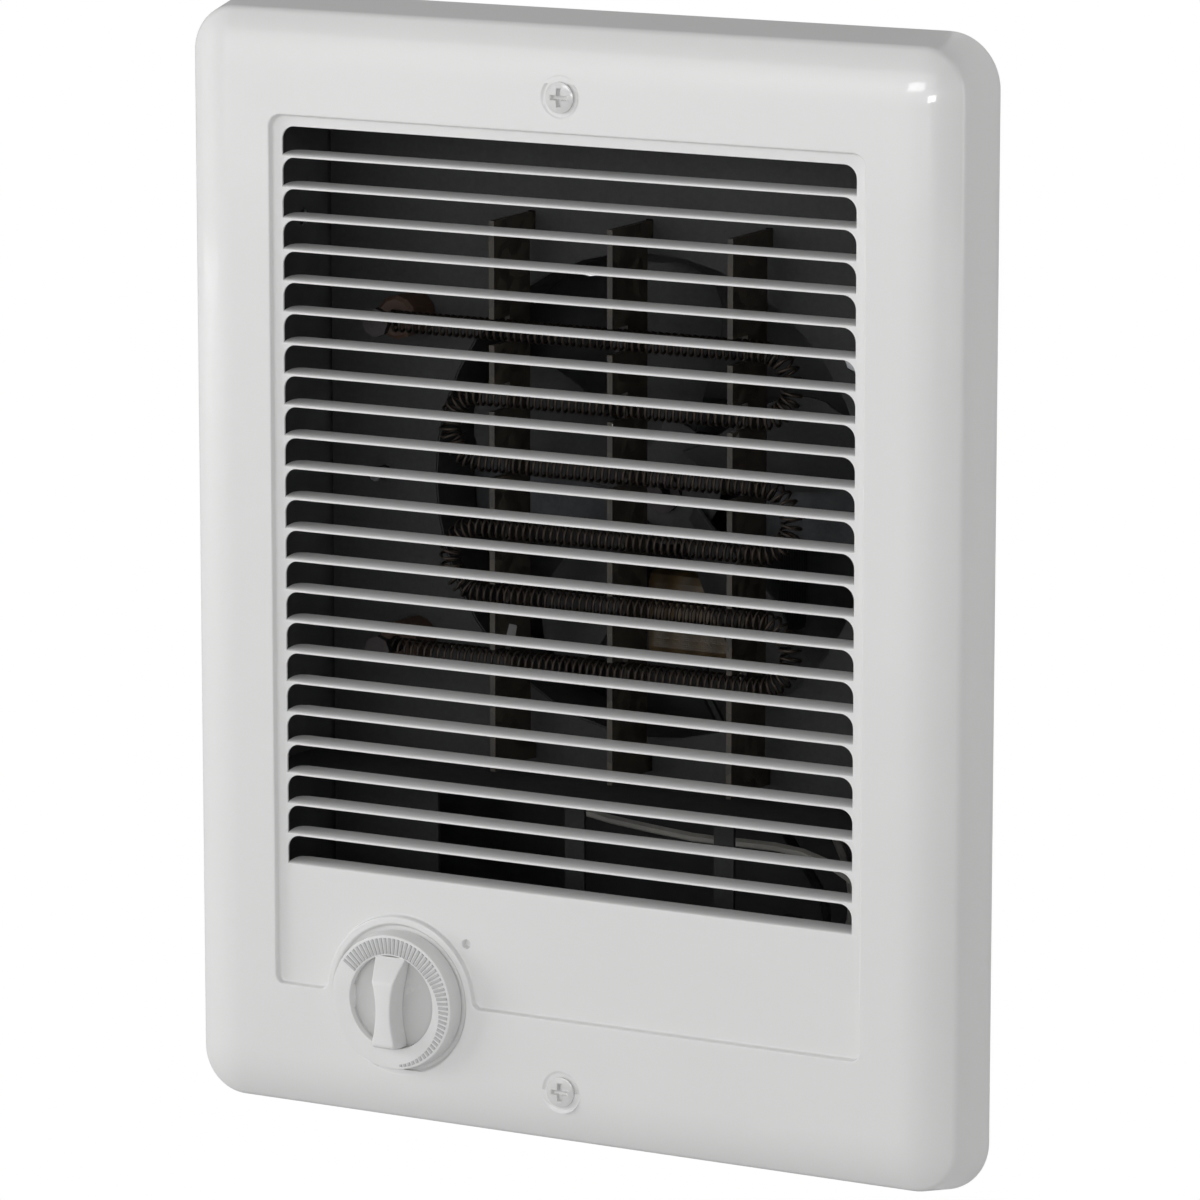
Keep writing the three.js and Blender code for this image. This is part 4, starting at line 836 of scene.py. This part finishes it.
def louvre(sheet, g, bottom, half, front, columns):
    """One flap, bent back from the bottom edge of its slot along a Bezier curve."""
    lip, corner = bottom - g.louvre_bend, g.louvre_flap_corner
    before, after, steps = 0.05, 0.32, 20  # heights that shape the bend
    curve = [(0.0, lip), (0.0, bottom - before), (g.louvre_reach * 0.30, bottom + after),
             (g.louvre_reach, bottom + g.louvre_rise)]
    profile = []
    for i in range(steps + 1):
        t = i / steps
        weights = ((1 - t) ** 3, 3 * t * (1 - t) ** 2, 3 * t * t * (1 - t), t ** 3)
        profile.append(tuple(sum(w * p[axis] for w, p in zip(weights, curve))
                             for axis in (0, 1)))
    rows = []
    for y, z in profile:
        past = max(0.0, y - (g.louvre_reach - corner))
        wide = half - corner + math.sqrt(max(0.0, corner ** 2 - past ** 2))
        rows.append([(wide * (2 * i / columns - 1), front + y, z)
                     for i in range(columns + 1)])
    sheet.grid(rows)


class HEATER_OT_grille(bpy.types.Operator):
    """Presses the grille: pan, recess, knob seat, screw dimples and louvres"""
    bl_idname = "heater.grille"
    bl_label = "Grille"

    def execute(self, context):
        g, knob = heater(context).grille, heater(context).knob
        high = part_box("grille")[1]
        half_width, half_height = high.x / MM, high.z / MM
        face = -g.depth
        recess_half = half_width - g.side_border
        top, bottom = half_height - g.top_border, -half_height + g.bottom_border
        knob_at = (-recess_half + knob.from_recess, bottom)
        sheet = Sheet()

        pan = [(pan_ring(g, inset, half_width, half_height), y)
               for inset, y in pan_section(g)]
        sheet.grid([raised(loop, y) for loop, y in pan], closed=True)

        recess = [(recess_outline(g, knob, recess_half, top, bottom, run), face + fall)
                  for run, fall in step_profile(g.recess_depth, *RECESS_BEND)]
        sheet.grid([raised(loop, y) for loop, y in recess], closed=True)

        shaft_low, shaft_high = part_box("thermostat_shaft")
        hub_room = 4.8
        hub_hole = (shaft_high.x - shaft_low.x) / MM / 2 + hub_room
        seat = step_profile(knob.seat_depth, *SEAT_BEND)
        holes = [recess[0][0],
                 dimple(sheet, knob_at, knob.seat_radius, hub_hole, seat, face, SEAT_STEPS)]
        dimple_depth, dimple_radius, screw_hole = 0.35, 5.4, 2.4
        screw_step = step_profile(dimple_depth, *DIMPLE_BEND)
        for node in ("grille_screw_top", "grille_screw_bottom"):
            holes.append(dimple(sheet, (0.0, centre_of(node).z), dimple_radius, screw_hole,
                                screw_step, face, DIMPLE_STEPS))
        sheet.fill(pan[-1][0], holes, face)

        panel = face + g.recess_depth
        half = recess_half - g.louvre_margin
        columns, corner = 8, g.louvre_corner
        slots = []
        for i in range(g.louvre_count):
            low_z = top - g.louvre_margin - i * g.louvre_pitch - g.louvre_opening
            high_z = low_z + g.louvre_opening
            edge = [(half * (2 * c / columns - 1), low_z - g.louvre_bend)
                    for c in range(columns + 1)]
            high_centre = high_z - corner
            slots.append(edge
                         + arc((half - corner, high_centre), corner, 0, 90, BEND_STEPS)
                         + arc((-half + corner, high_centre), corner, 90, 180, BEND_STEPS))
            louvre(sheet, g, low_z, half, panel, columns)
        dot_angle, dot_reach = math.radians(49.3), knob.boss_radius + 3.6
        dot_at = (knob_at[0] + dot_reach * math.sin(dot_angle),
                  knob_at[1] + dot_reach * math.cos(dot_angle))
        dot_radius, dot_floor, dot_depth = 1.15, 0.05, 1.7
        dot = dimple(sheet, dot_at, dot_radius, dot_floor,
                     step_profile(dot_depth, *DOT_BEND), panel, DOT_STEPS)
        sheet.fill(recess[-1][0], [*slots, dot], panel)

        mesh = modified(sheet.mesh("grille"), ("SOLIDIFY", {
            "thickness": g.sheet * MM, "offset": -1.0, "use_even_offset": False}))
        show(mesh, "pressed_grille", "housing", FINISH["white_paint"],
             ["grille"], 40)
        return {"FINISHED"}


HEAD_BACK = -18.7  # back of the face screws' heads, in millimetres


class HEATER_OT_screws(bpy.types.Operator):
    """Turns the two painted face screws with their cross recess"""
    bl_idname = "heater.screws"
    bl_label = "Face screws"

    def execute(self, context):
        paint = powder_coat("screw_paint_finish",
                            tone(heater(context).colours.paint, 0.86), 0.24, 0.2)
        for end in ("top", "bottom"):
            node = f"grille_screw_{end}"
            low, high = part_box(node)
            at = centre_of(node)
            sheet = Sheet()
            rim = self.head(sheet, at, low.y / MM + 1.8, (high.z - low.z) / MM / 2)
            last = self.skirt(sheet, at, rim)
            self.shank(sheet, at, high.y / MM, last)
            mesh = sheet.mesh(node, 2e-3)
            orient(mesh)
            show(mesh, f"face_screw_{end}", "housing", paint, [node], 42)
        return {"FINISHED"}

    @staticmethod
    def head(sheet, at, front, radius):
        """The domed head with its cross recess; returns its rim."""
        dome, count = 0.75, 84
        arm_reach, arm_half, cross_depth, cross_lip = 2.4, 0.60, 1.35, 0.10
        rows = []
        for i in range(count + 1):
            row = []
            for j in range(count + 1):
                u, v = ellipse_square(2 * j / count - 1, 2 * i / count - 1)
                r = math.hypot(u, v)
                y = front + dome * (1 - math.sqrt(max(0.0, 1 - (0.92 * r) ** 2.2)))
                across, up = abs(u) * radius, abs(v) * radius
                arm = min(max(across / arm_reach, up / arm_half),
                          max(up / arm_reach, across / arm_half))
                depth = cross_depth * (1 - 0.35 * r) * (1 - smooth(arm, 0.80, 1.05))
                lip = cross_lip * smooth(arm, 1.0, 1.12) * (1 - smooth(arm, 1.12, 1.5))
                row.append((at.x + u * radius, y + depth - lip, at.z + v * radius))
            rows.append(row)
        rings = sheet.grid(rows)
        return (rings[0] + [r[-1] for r in rings[1:]] + rings[-1][-2::-1]
                + [r[0] for r in rings[-2:0:-1]])

    @staticmethod
    def skirt(sheet, at, rim):
        """The head's side, down to its back; returns the last loop."""
        last = rim
        for grow, share in ((0.05, 0.5), (-0.08, 1.0)):
            loop = []
            for i in rim:
                x, y, z = sheet.points[i]
                out = Vector((x - at.x, 0, z - at.z)).normalized() * grow
                loop.append((x + out.x, y + (HEAD_BACK - y) * share, z + out.z))
            loop = sheet.ring(loop)
            sheet.bridge(last, loop)
            last = loop
        return last

    @staticmethod
    def shank(sheet, at, end, head):
        """The threaded shank, joined to the last loop of the head."""
        neck, crest, root, step = 2.1, 2.05, 1.55, 0.35
        profile = [(neck, HEAD_BACK)]
        for i in range(int((end - HEAD_BACK - 3) / step)):
            profile.append((crest if i % 3 == 0 else root, HEAD_BACK + 1 + i * step))
        profile += [(1.2, end - 0.6), (0.3, end)]
        rings = sheet.grid(turned(profile, 24, (at.x, at.z)), closed=True)
        sheet.faces.append(tuple(rings[-1]))
        hub = sheet.ring(turned([(neck, HEAD_BACK)], len(head), (at.x, at.z))[0])
        order = sorted(head, key=lambda i: math.atan2(
            sheet.points[i][0] - at.x, sheet.points[i][2] - at.z) % (2 * math.pi))
        sheet.bridge(order, hub)


def orient(mesh):
    """Turns all faces outwards."""
    bm = bmesh.new()
    bm.from_mesh(mesh)
    bmesh.ops.recalc_face_normals(bm, faces=bm.faces)
    bm.to_mesh(mesh)
    bm.free()


# Heights along the grip from the knob's axis, and its half widths there, in millimetres.
GRIP_FOOT, GRIP_WAIST, GRIP_SHOULDER = -10.7, -2.0, 6.3
WAIST_HALF, SHOULDER_HALF, TOP_FLARE = 2.3, 3.4, 1.35


def grip_width(z):
    """Half width of the grip bar, waisted below the middle and flared at the top."""
    if z > GRIP_SHOULDER:
        return SHOULDER_HALF + TOP_FLARE * ((z - GRIP_SHOULDER) / GRIP_SHOULDER) ** 1.2
    span = GRIP_SHOULDER - GRIP_WAIST if z > GRIP_WAIST else 8
    share = min(1.0, abs(z - GRIP_WAIST) / span)
    return WAIST_HALF + (SHOULDER_HALF - WAIST_HALF) * share ** 2


def grip_front(z, front, proud):
    """Front of the grip bar: round at the foot and sloping back above the shoulder."""
    if z < GRIP_FOOT:
        radius = 1.4
        return front + radius - math.sqrt(max(0.0, radius ** 2
                                              - ((GRIP_FOOT - z) * 1.07) ** 2))
    if z > GRIP_SHOULDER:
        t = (z - GRIP_SHOULDER) / GRIP_SHOULDER
        return front + (proud + 0.1) * (0.82 * t + 0.18 * t * t)
    return front


def grip_section(z, front, base, centre):
    """A section of the bar across Z, with rounded front corners."""
    half, bend, steps = grip_width(z), 0.55, 5
    points = [(-half - 0.35, base), (-half - 0.2, (base + front) / 2),
              (-half - 0.02, front + bend + 0.3)]
    for i in range(steps + 1):
        a = math.pi / 2 * i / steps
        points.append((-half + bend - bend * math.cos(a),
                       front + bend - bend * math.sin(a)))
    points += [(-half * 0.4, front - 0.06), (0.0, front - 0.08)]
    points += [(-x, y) for x, y in reversed(points[:-1])]
    return [(centre[0] + x, y, centre[1] + z) for x, y in points]


class HEATER_OT_knob(bpy.types.Operator):
    """Moulds the thermostat knob: ring, dish, grip bar and raised marks"""
    bl_idname = "heater.knob"
    bl_label = "Knob"

    def execute(self, context):
        g, knob = heater(context).grille, heater(context).knob
        at = centre_of("thermostat_knob")
        centre = (at.x, at.z)
        front = -g.depth - knob.proud
        floor = front + knob.dish_depth
        back = -g.depth + knob.seat_depth - 0.5
        hub_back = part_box("thermostat_knob")[1].y / MM
        dish, outer, base = knob.dish_radius, knob.front_radius, knob.radius
        # Radius and Y: dish floor, ring's front, ring's side, and back inside to the hub.
        profile = [(0.02, floor - 0.25), (6.0, floor - 0.2), (dish - 2.2, floor - 0.05),
                   (dish - 0.5, floor + 0.1), (dish - 0.12, floor + 0.25), (dish, floor),
                   (dish + 0.05, front + 0.35), (dish + 0.16, front + 0.1),
                   (dish + 0.42, front), (outer - 1.6, front), (outer - 0.45, front + 0.03),
                   (outer - 0.12, front + 0.14), (outer, front + 0.42),
                   (outer + 0.06, front + 1.0), (base - 0.08, back - 0.5),
                   (base, back - 0.1), (base - 0.12, back), (base - 1.3, back),
                   (base - 1.5, back - 0.3), (outer - 1.6, front + 1.5),
                   (dish + 1.4, front + 1.4), (dish + 1.2, floor + 1.4),
                   (6.6, floor + 1.4), (6.4, floor + 1.7), (6.4, hub_back),
                   (3.5, hub_back), (3.5, floor + 2.2), (0.02, floor + 2.0)]
        # Painted shade: the dish floor inside this box is coloured darker, for the shade in
        # the dish.
        reach = dish * 0.97
        painted_shade_box = (Vector((at.x - reach, floor - 0.6, at.z - reach)) * MM,
                  Vector((at.x + reach, floor + 0.35, at.z + reach)) * MM)
        plastic = satin_plastic("knob_finish", tuple(heater(context).colours.plastic),
                                painted_shade_box=painted_shade_box)
        sheet = Sheet()
        sheet.grid(turned(profile, 128, centre), closed=True)
        stations = [-12.0, -11.97, -11.85, -11.6, -11.3, -10.9, -10.4, -9.6]
        stations += [-8.8 + 0.75 * i for i in range(21)]
        stations += [6.7 + 0.42 * i for i in range(15)]
        bar = sheet.grid([
            grip_section(z, grip_front(z, front - knob.grip_proud, knob.grip_proud),
                         floor + 0.4, centre) for z in stations])
        sheet.faces.append(tuple(bar[0]))
        sheet.faces.append(tuple(reversed(bar[-1])))
        mesh = sheet.mesh("knob")
        orient(mesh)
        show(mesh, "moulded_knob", "thermostat_spindle", plastic,
             ["thermostat_knob"], 32)

        marks = Sheet()
        first, taper_from, taper_span, taper = -55, 50, 122, 3.75
        for i in range(knob.tick_count):
            degree = first + i * knob.tick_step
            inner = dish + 0.55
            if degree > taper_from:
                inner += taper * ((degree - taper_from) / taper_span) ** 0.85
            self.tick(marks, centre, math.radians(degree), inner, outer - 0.75, front)
        mesh = marks.mesh("marks")
        orient(mesh)
        # Painted shade: the raised marks take a darker colour than the ring, for the shade
        # around them.
        show(mesh, "knob_marks", "thermostat_spindle",
             satin_plastic("knob_mark_shade_finish", tuple(heater(context).colours.marks), 0.5))
        return {"FINISHED"}

    @staticmethod
    def tick(sheet, centre, angle, inner, outer, front):
        """A raised bar on the ring, narrower at its crest."""
        along = Vector((math.sin(angle), math.cos(angle)))
        across = Vector((along.y, -along.x))
        rows = []
        for half, trim, y in ((0.40, 0.0, front + 0.1), (0.38, 0.02, front - 0.16),
                              (0.30, 0.10, front - 0.30), (0.18, 0.2, front - 0.34)):
            corners = [(inner + trim, -half), (outer - trim, -half), (outer - trim, half),
                       (inner + trim, half)]
            places = [along * r + across * side for r, side in corners]
            rows.append([(centre[0] + p.x, y, centre[1] + p.y) for p in places])
        rings = sheet.grid(rows, closed=True)
        sheet.faces.append(tuple(rings[-1]))
        sheet.faces.append(tuple(reversed(rings[0])))


class HEATER_OT_element(bpy.types.Operator):
    """Winds the open heating coil through its mica boards"""
    bl_idname = "heater.element"
    bl_label = "Element"

    def execute(self, context):
        low, high = (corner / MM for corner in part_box("heating_element"))
        wire, per_turn, steps = 0.42, 2.1, 10
        radius = (high.y - low.y) / 2
        line = [Vector(point) for point in self.route(low, high, radius)]
        lengths = [(b - a).length for a, b in zip(line, line[1:])]
        total = sum(lengths)
        count = int(total / per_turn) * steps
        curve = bpy.data.curves.new("coil", "CURVE")
        curve.dimensions = "3D"
        curve.bevel_depth = wire * MM
        curve.bevel_resolution = 1
        spline = curve.splines.new("POLY")
        spline.points.add(count)
        middle, out = (low.y + high.y) / 2, radius - wire
        segment, before = 0, 0.0
        for i in range(count + 1):
            along = total * i / count
            while segment < len(lengths) - 1 and along > before + lengths[segment]:
                before += lengths[segment]
                segment += 1
            a, b = line[segment], line[segment + 1]
            p = a.lerp(b, min(1.0, (along - before) / lengths[segment]))
            d = (b - a).normalized()
            phase = 2 * math.pi * i / steps
            spline.points[i].co = ((p.x - d.y * out * math.cos(phase)) * MM,
                                   (middle + out * math.sin(phase)) * MM,
                                   (p.y + d.x * out * math.cos(phase)) * MM, 1.0)
        coil = placed("wound_coil", curve, FINISH["nichrome"])
        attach(coil, "housing")
        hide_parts("heating_element")
        return {"FINISHED"}

    @staticmethod
    def route(low, high, radius):
        """The coil's middle line in X and Z: level rows joined by half turns."""
        rows, pitch, bends = 6, 18.0, 10
        half, turn, top = high.x - pitch / 2 - radius, pitch / 2, high.z - radius
        path = [(low.x, top)]
        for row in range(rows):
            z, side = top - row * pitch, 1 if row % 2 == 0 else -1
            path.append((side * half, z))
            if row + 1 < rows:
                path += [(side * (half + turn * math.sin(math.pi * k / bends)),
                          z - turn + turn * math.cos(math.pi * k / bends))
                         for k in range(1, bends + 1)]
        path.append((low.x, top - (rows - 1) * pitch))
        return path


class HEATER_OT_fan(bpy.types.Operator):
    """Presses the five twisted blades and their spider"""
    bl_idname = "heater.fan"
    bl_label = "Fan"

    def execute(self, context):
        low, high = (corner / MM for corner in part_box("fan_blades"))
        middle = (low.y + high.y) / 2 - 0.3
        centre, disc, count = (0.0, (low.z + high.z) / 2), 17.0, 5
        sheet = Sheet()
        for blade in range(count):
            self.blade(sheet, centre, middle, disc, high.x, 2 * math.pi * blade / count)
        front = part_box("fan_hub")[0].y / MM - 1.5
        sheet.grid(turned([(2.8, front), (9.0, front), (12.0, front - 0.25),
                           (disc - 1, front - 0.25), (disc, front + 0.2)], 60, centre),
                   closed=True)
        mesh = modified(
            sheet.mesh("fan"), ("SOLIDIFY", {"thickness": 1.1 * MM, "offset": 0.0}),
            ("BEVEL", {"width": 0.25 * MM, "segments": 2, "limit_method": "ANGLE"}))
        orient(mesh)
        # The blades take the black paint as painted shade, so that they sit dark behind the
        # louvres.
        show(mesh, "pressed_fan", "fan_rotor", FINISH["black_paint"],
             ["fan_blades"])
        return {"FINISHED"}

    @staticmethod
    def blade(sheet, centre, middle, disc, tip, turn):
        """One cambered blade whose pitch falls from root to tip, turned about the hub."""
        across, along = 14, 18
        root_pitch, twist, camber = 33, 7, 1.6
        root_half, spread, round_from = 8, 7.4, 0.7
        rows = []
        for i in range(along + 1):
            t = i / along
            r = disc - 5 + (tip - disc + 4.6) * t
            pitch = math.radians(root_pitch - twist * t)
            half = root_half + spread * smooth(t, 0.0, 0.75)
            if t > round_from:
                half *= math.sqrt(max(0.06, 1 - ((t - round_from) / 0.31) ** 2.6))
            row = []
            for j in range(across + 1):
                u = 2 * j / across - 1
                x = half * u * math.cos(pitch)
                y = half * u * math.sin(pitch) - camber * (1 - u * u) * smooth(t, 0.0, 0.4)
                z = math.sqrt(max(1.0, r * r - x * x))
                row.append((centre[0] + x * math.cos(turn) + z * math.sin(turn), middle + y,
                            centre[1] - x * math.sin(turn) + z * math.cos(turn)))
            rows.append(row)
        sheet.grid(rows)


# ------------------------------------------------------------------ studio

# Name, place, width and height in metres, and share of the key's power. A glint shows
# only in reflections, and a fill shows in none.
LIGHTS = (
    ("front", (-0.8, -2.3, 0.35), (2.4, 2.2), 0.90),
    ("left_fill", (-2.2, -0.8, 0.1), (1.0, 1.8), 1.50),
    ("near_right_fill", (1.3, -2.1, 0.1), (0.9, 1.8), 0.60),
    ("right", (2.1, -0.6, 0.3), (0.5, 1.8), 0.12),
    ("upper_glint", (-0.40, -1.88, 0.60), (0.62, 0.30), 0.20),
    ("lower_glint", (0.26, -1.98, 0.18), (0.34, 0.24), 0.18),
    ("edge_glint", (2.1, -0.9, 0.1), (0.25, 1.8), 0.20),
)


class HEATER_OT_studio(bpy.types.Operator):
    """Sets the pale floor, the wall board, the stud shades, the lights and the camera"""
    bl_idname = "heater.studio"
    bl_label = "Studio"

    def execute(self, context):
        s = heater(context).studio
        self.camera(context, s)
        self.world(context, s)
        self.backdrop(s, self.backdrop_finish())
        self.stud_shades()
        self.lights(context, s)
        context.scene.view_settings.view_transform = "Standard"
        context.scene.view_settings.look = "None"
        return {"FINISHED"}

    @staticmethod
    def backdrop(s, pale):
        """The floor, and the wall board beside the can, just behind the wall plane."""
        wide, tall, thick = s.board
        gap, front = 0.002, 0.3
        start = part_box("wall_can")[1].x + gap
        board = Sheet()
        board.faces.append(tuple(board.ring([
            (x / MM, front, z / MM)
            for x, z in ((start, -tall / 2), (start + wide, -tall / 2),
                         (start + wide, tall / 2), (start, tall / 2))])))
        wall = placed("wall_board", board.mesh("board"), pale)
        solid = wall.modifiers.new("board", "SOLIDIFY")
        solid.thickness = thick
        solid.offset = -1.0
        floor = Sheet()
        floor_z = (CAD_BOX[0].z - s.floor_drop) / MM
        reach, cell = 3000, 500
        floor.grid([[(x, y, floor_z) for x in range(-reach, reach + 1, cell)]
                    for y in range(-reach, reach + 1, cell)])
        placed("floor", floor.mesh("floor"), pale)

    @staticmethod
    def stud_shades():
        """Dark discs just outside the can's four stud holes: painted shade of the wall
        cavity behind them.
        """
        dark = bpy.data.materials.new("stud_shade_finish")
        dark.use_nodes = True
        surface = dark.node_tree.nodes["Principled BSDF"]
        surface.inputs["Base Color"].default_value = (0.012, 0.012, 0.012, 1)
        surface.inputs["Roughness"].default_value = 0.9
        low, high = (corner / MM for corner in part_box("wall_can"))
        inset, depth, radius, gap = 36.0, 18.0, 3.2, 0.1
        for side, x in (("left", low.x - gap), ("right", high.x + gap)):
            for end, z in (("upper", high.z - CAN_EAR - inset),
                           ("lower", low.z + CAN_EAR + inset)):
                disc = Sheet()
                disc.faces.append(tuple(disc.ring([
                    (x, y, z + up) for y, up in circle((depth, 0.0), radius, 24)])))
                placed(f"stud_shade_{side}_{end}", disc.mesh("stud_shade"), dark)

    @staticmethod
    def camera(context, s):
        """A camera at the aim's distance, azimuth and elevation."""
        yaw, pitch = math.radians(s.azimuth), math.radians(s.elevation)
        forward = Vector((-math.sin(yaw) * math.cos(pitch),
                          math.cos(yaw) * math.cos(pitch), -math.sin(pitch)))
        data = bpy.data.cameras.new("camera")
        data.lens = s.lens
        data.sensor_width = 36.0
        data.clip_start, data.clip_end = 0.05, 50.0
        camera = bpy.data.objects.new("camera", data)
        camera.location = Vector(s.aim) - forward * s.distance
        camera.rotation_euler = forward.to_track_quat("-Z", "Y").to_euler()
        context.scene.collection.objects.link(camera)
        context.scene.camera = camera

    @staticmethod
    def world(context, s):
        """A white world to look at, which lights the scene with less."""
        world = bpy.data.worlds.new("studio")
        context.scene.world = world
        world.use_nodes = True
        nodes, links = world.node_tree.nodes, world.node_tree.links
        nodes.clear()
        seen = nodes.new("ShaderNodeLightPath")
        bright = nodes.new("ShaderNodeBackground")
        bright.inputs["Color"].default_value = (1, 1, 1, 1)
        bright.inputs["Strength"].default_value = 1.0
        dim = nodes.new("ShaderNodeBackground")
        dim.inputs["Color"].default_value = (1, 1, 1, 1)
        dim.inputs["Strength"].default_value = s.ambient
        mix = nodes.new("ShaderNodeMixShader")
        output = nodes.new("ShaderNodeOutputWorld")
        links.new(seen.outputs["Is Camera Ray"], mix.inputs[0])
        links.new(dim.outputs[0], mix.inputs[1])
        links.new(bright.outputs[0], mix.inputs[2])
        links.new(mix.outputs[0], output.inputs["Surface"])

    @staticmethod
    def backdrop_finish():
        """Pale matt board that is plain white to look at."""
        material = bpy.data.materials.new("pale_backdrop")
        material.use_nodes = True
        nodes, links = material.node_tree.nodes, material.node_tree.links
        surface = nodes["Principled BSDF"]
        surface.inputs["Base Color"].default_value = (0.8, 0.8, 0.8, 1)
        surface.inputs["Roughness"].default_value = 0.9
        surface.inputs["Specular IOR Level"].default_value = 0.0
        seen = nodes.new("ShaderNodeLightPath")
        white = nodes.new("ShaderNodeEmission")
        mix = nodes.new("ShaderNodeMixShader")
        links.new(seen.outputs["Is Camera Ray"], mix.inputs[0])
        links.new(surface.outputs[0], mix.inputs[1])
        links.new(white.outputs[0], mix.inputs[2])
        links.new(mix.outputs[0], nodes["Material Output"].inputs["Surface"])
        return material

    @staticmethod
    def lights(context, s):
        """The area lights, all turned to the heater's middle."""
        for name, place, size, share in LIGHTS:
            data = bpy.data.lights.new(name, "AREA")
            data.shape = "RECTANGLE"
            data.size, data.size_y = size
            data.energy = s.key * share
            light = bpy.data.objects.new(name, data)
            light.visible_diffuse = not name.endswith("glint")
            light.visible_glossy = not name.endswith("fill")
            light.location = place
            light.rotation_euler = (-Vector(place)).to_track_quat("-Z", "Y").to_euler()
            context.scene.collection.objects.link(light)


# ------------------------------------------------------------------ add-on

OPERATORS = (HEATER_OT_studio, HEATER_OT_finishes, HEATER_OT_grille, HEATER_OT_screws,
             HEATER_OT_knob, HEATER_OT_element, HEATER_OT_fan)


class HEATER_PT_panel(bpy.types.Panel):
    """Lists the pieces of the heater."""
    bl_idname = "HEATER_PT_panel"
    bl_label = "In-wall heater"
    bl_space_type = "VIEW_3D"
    bl_region_type = "UI"
    bl_category = "Heater"

    def draw(self, context):
        for operator in OPERATORS:
            self.layout.operator(operator.bl_idname)


CLASSES = (GrilleSizes, KnobSizes, FinishColours, StudioSettings, HeaterSettings,
           *OPERATORS, HEATER_PT_panel)


def register():
    for cls in CLASSES:
        bpy.utils.register_class(cls)
    bpy.types.Scene.heater = PointerProperty(type=HeaterSettings)


def unregister():
    del bpy.types.Scene.heater
    for cls in reversed(CLASSES):
        bpy.utils.unregister_class(cls)


def main():
    register()
    for operator in OPERATORS:
        getattr(bpy.ops.heater, operator.bl_idname.split(".")[1])()


if __name__ == "__main__":
    main()
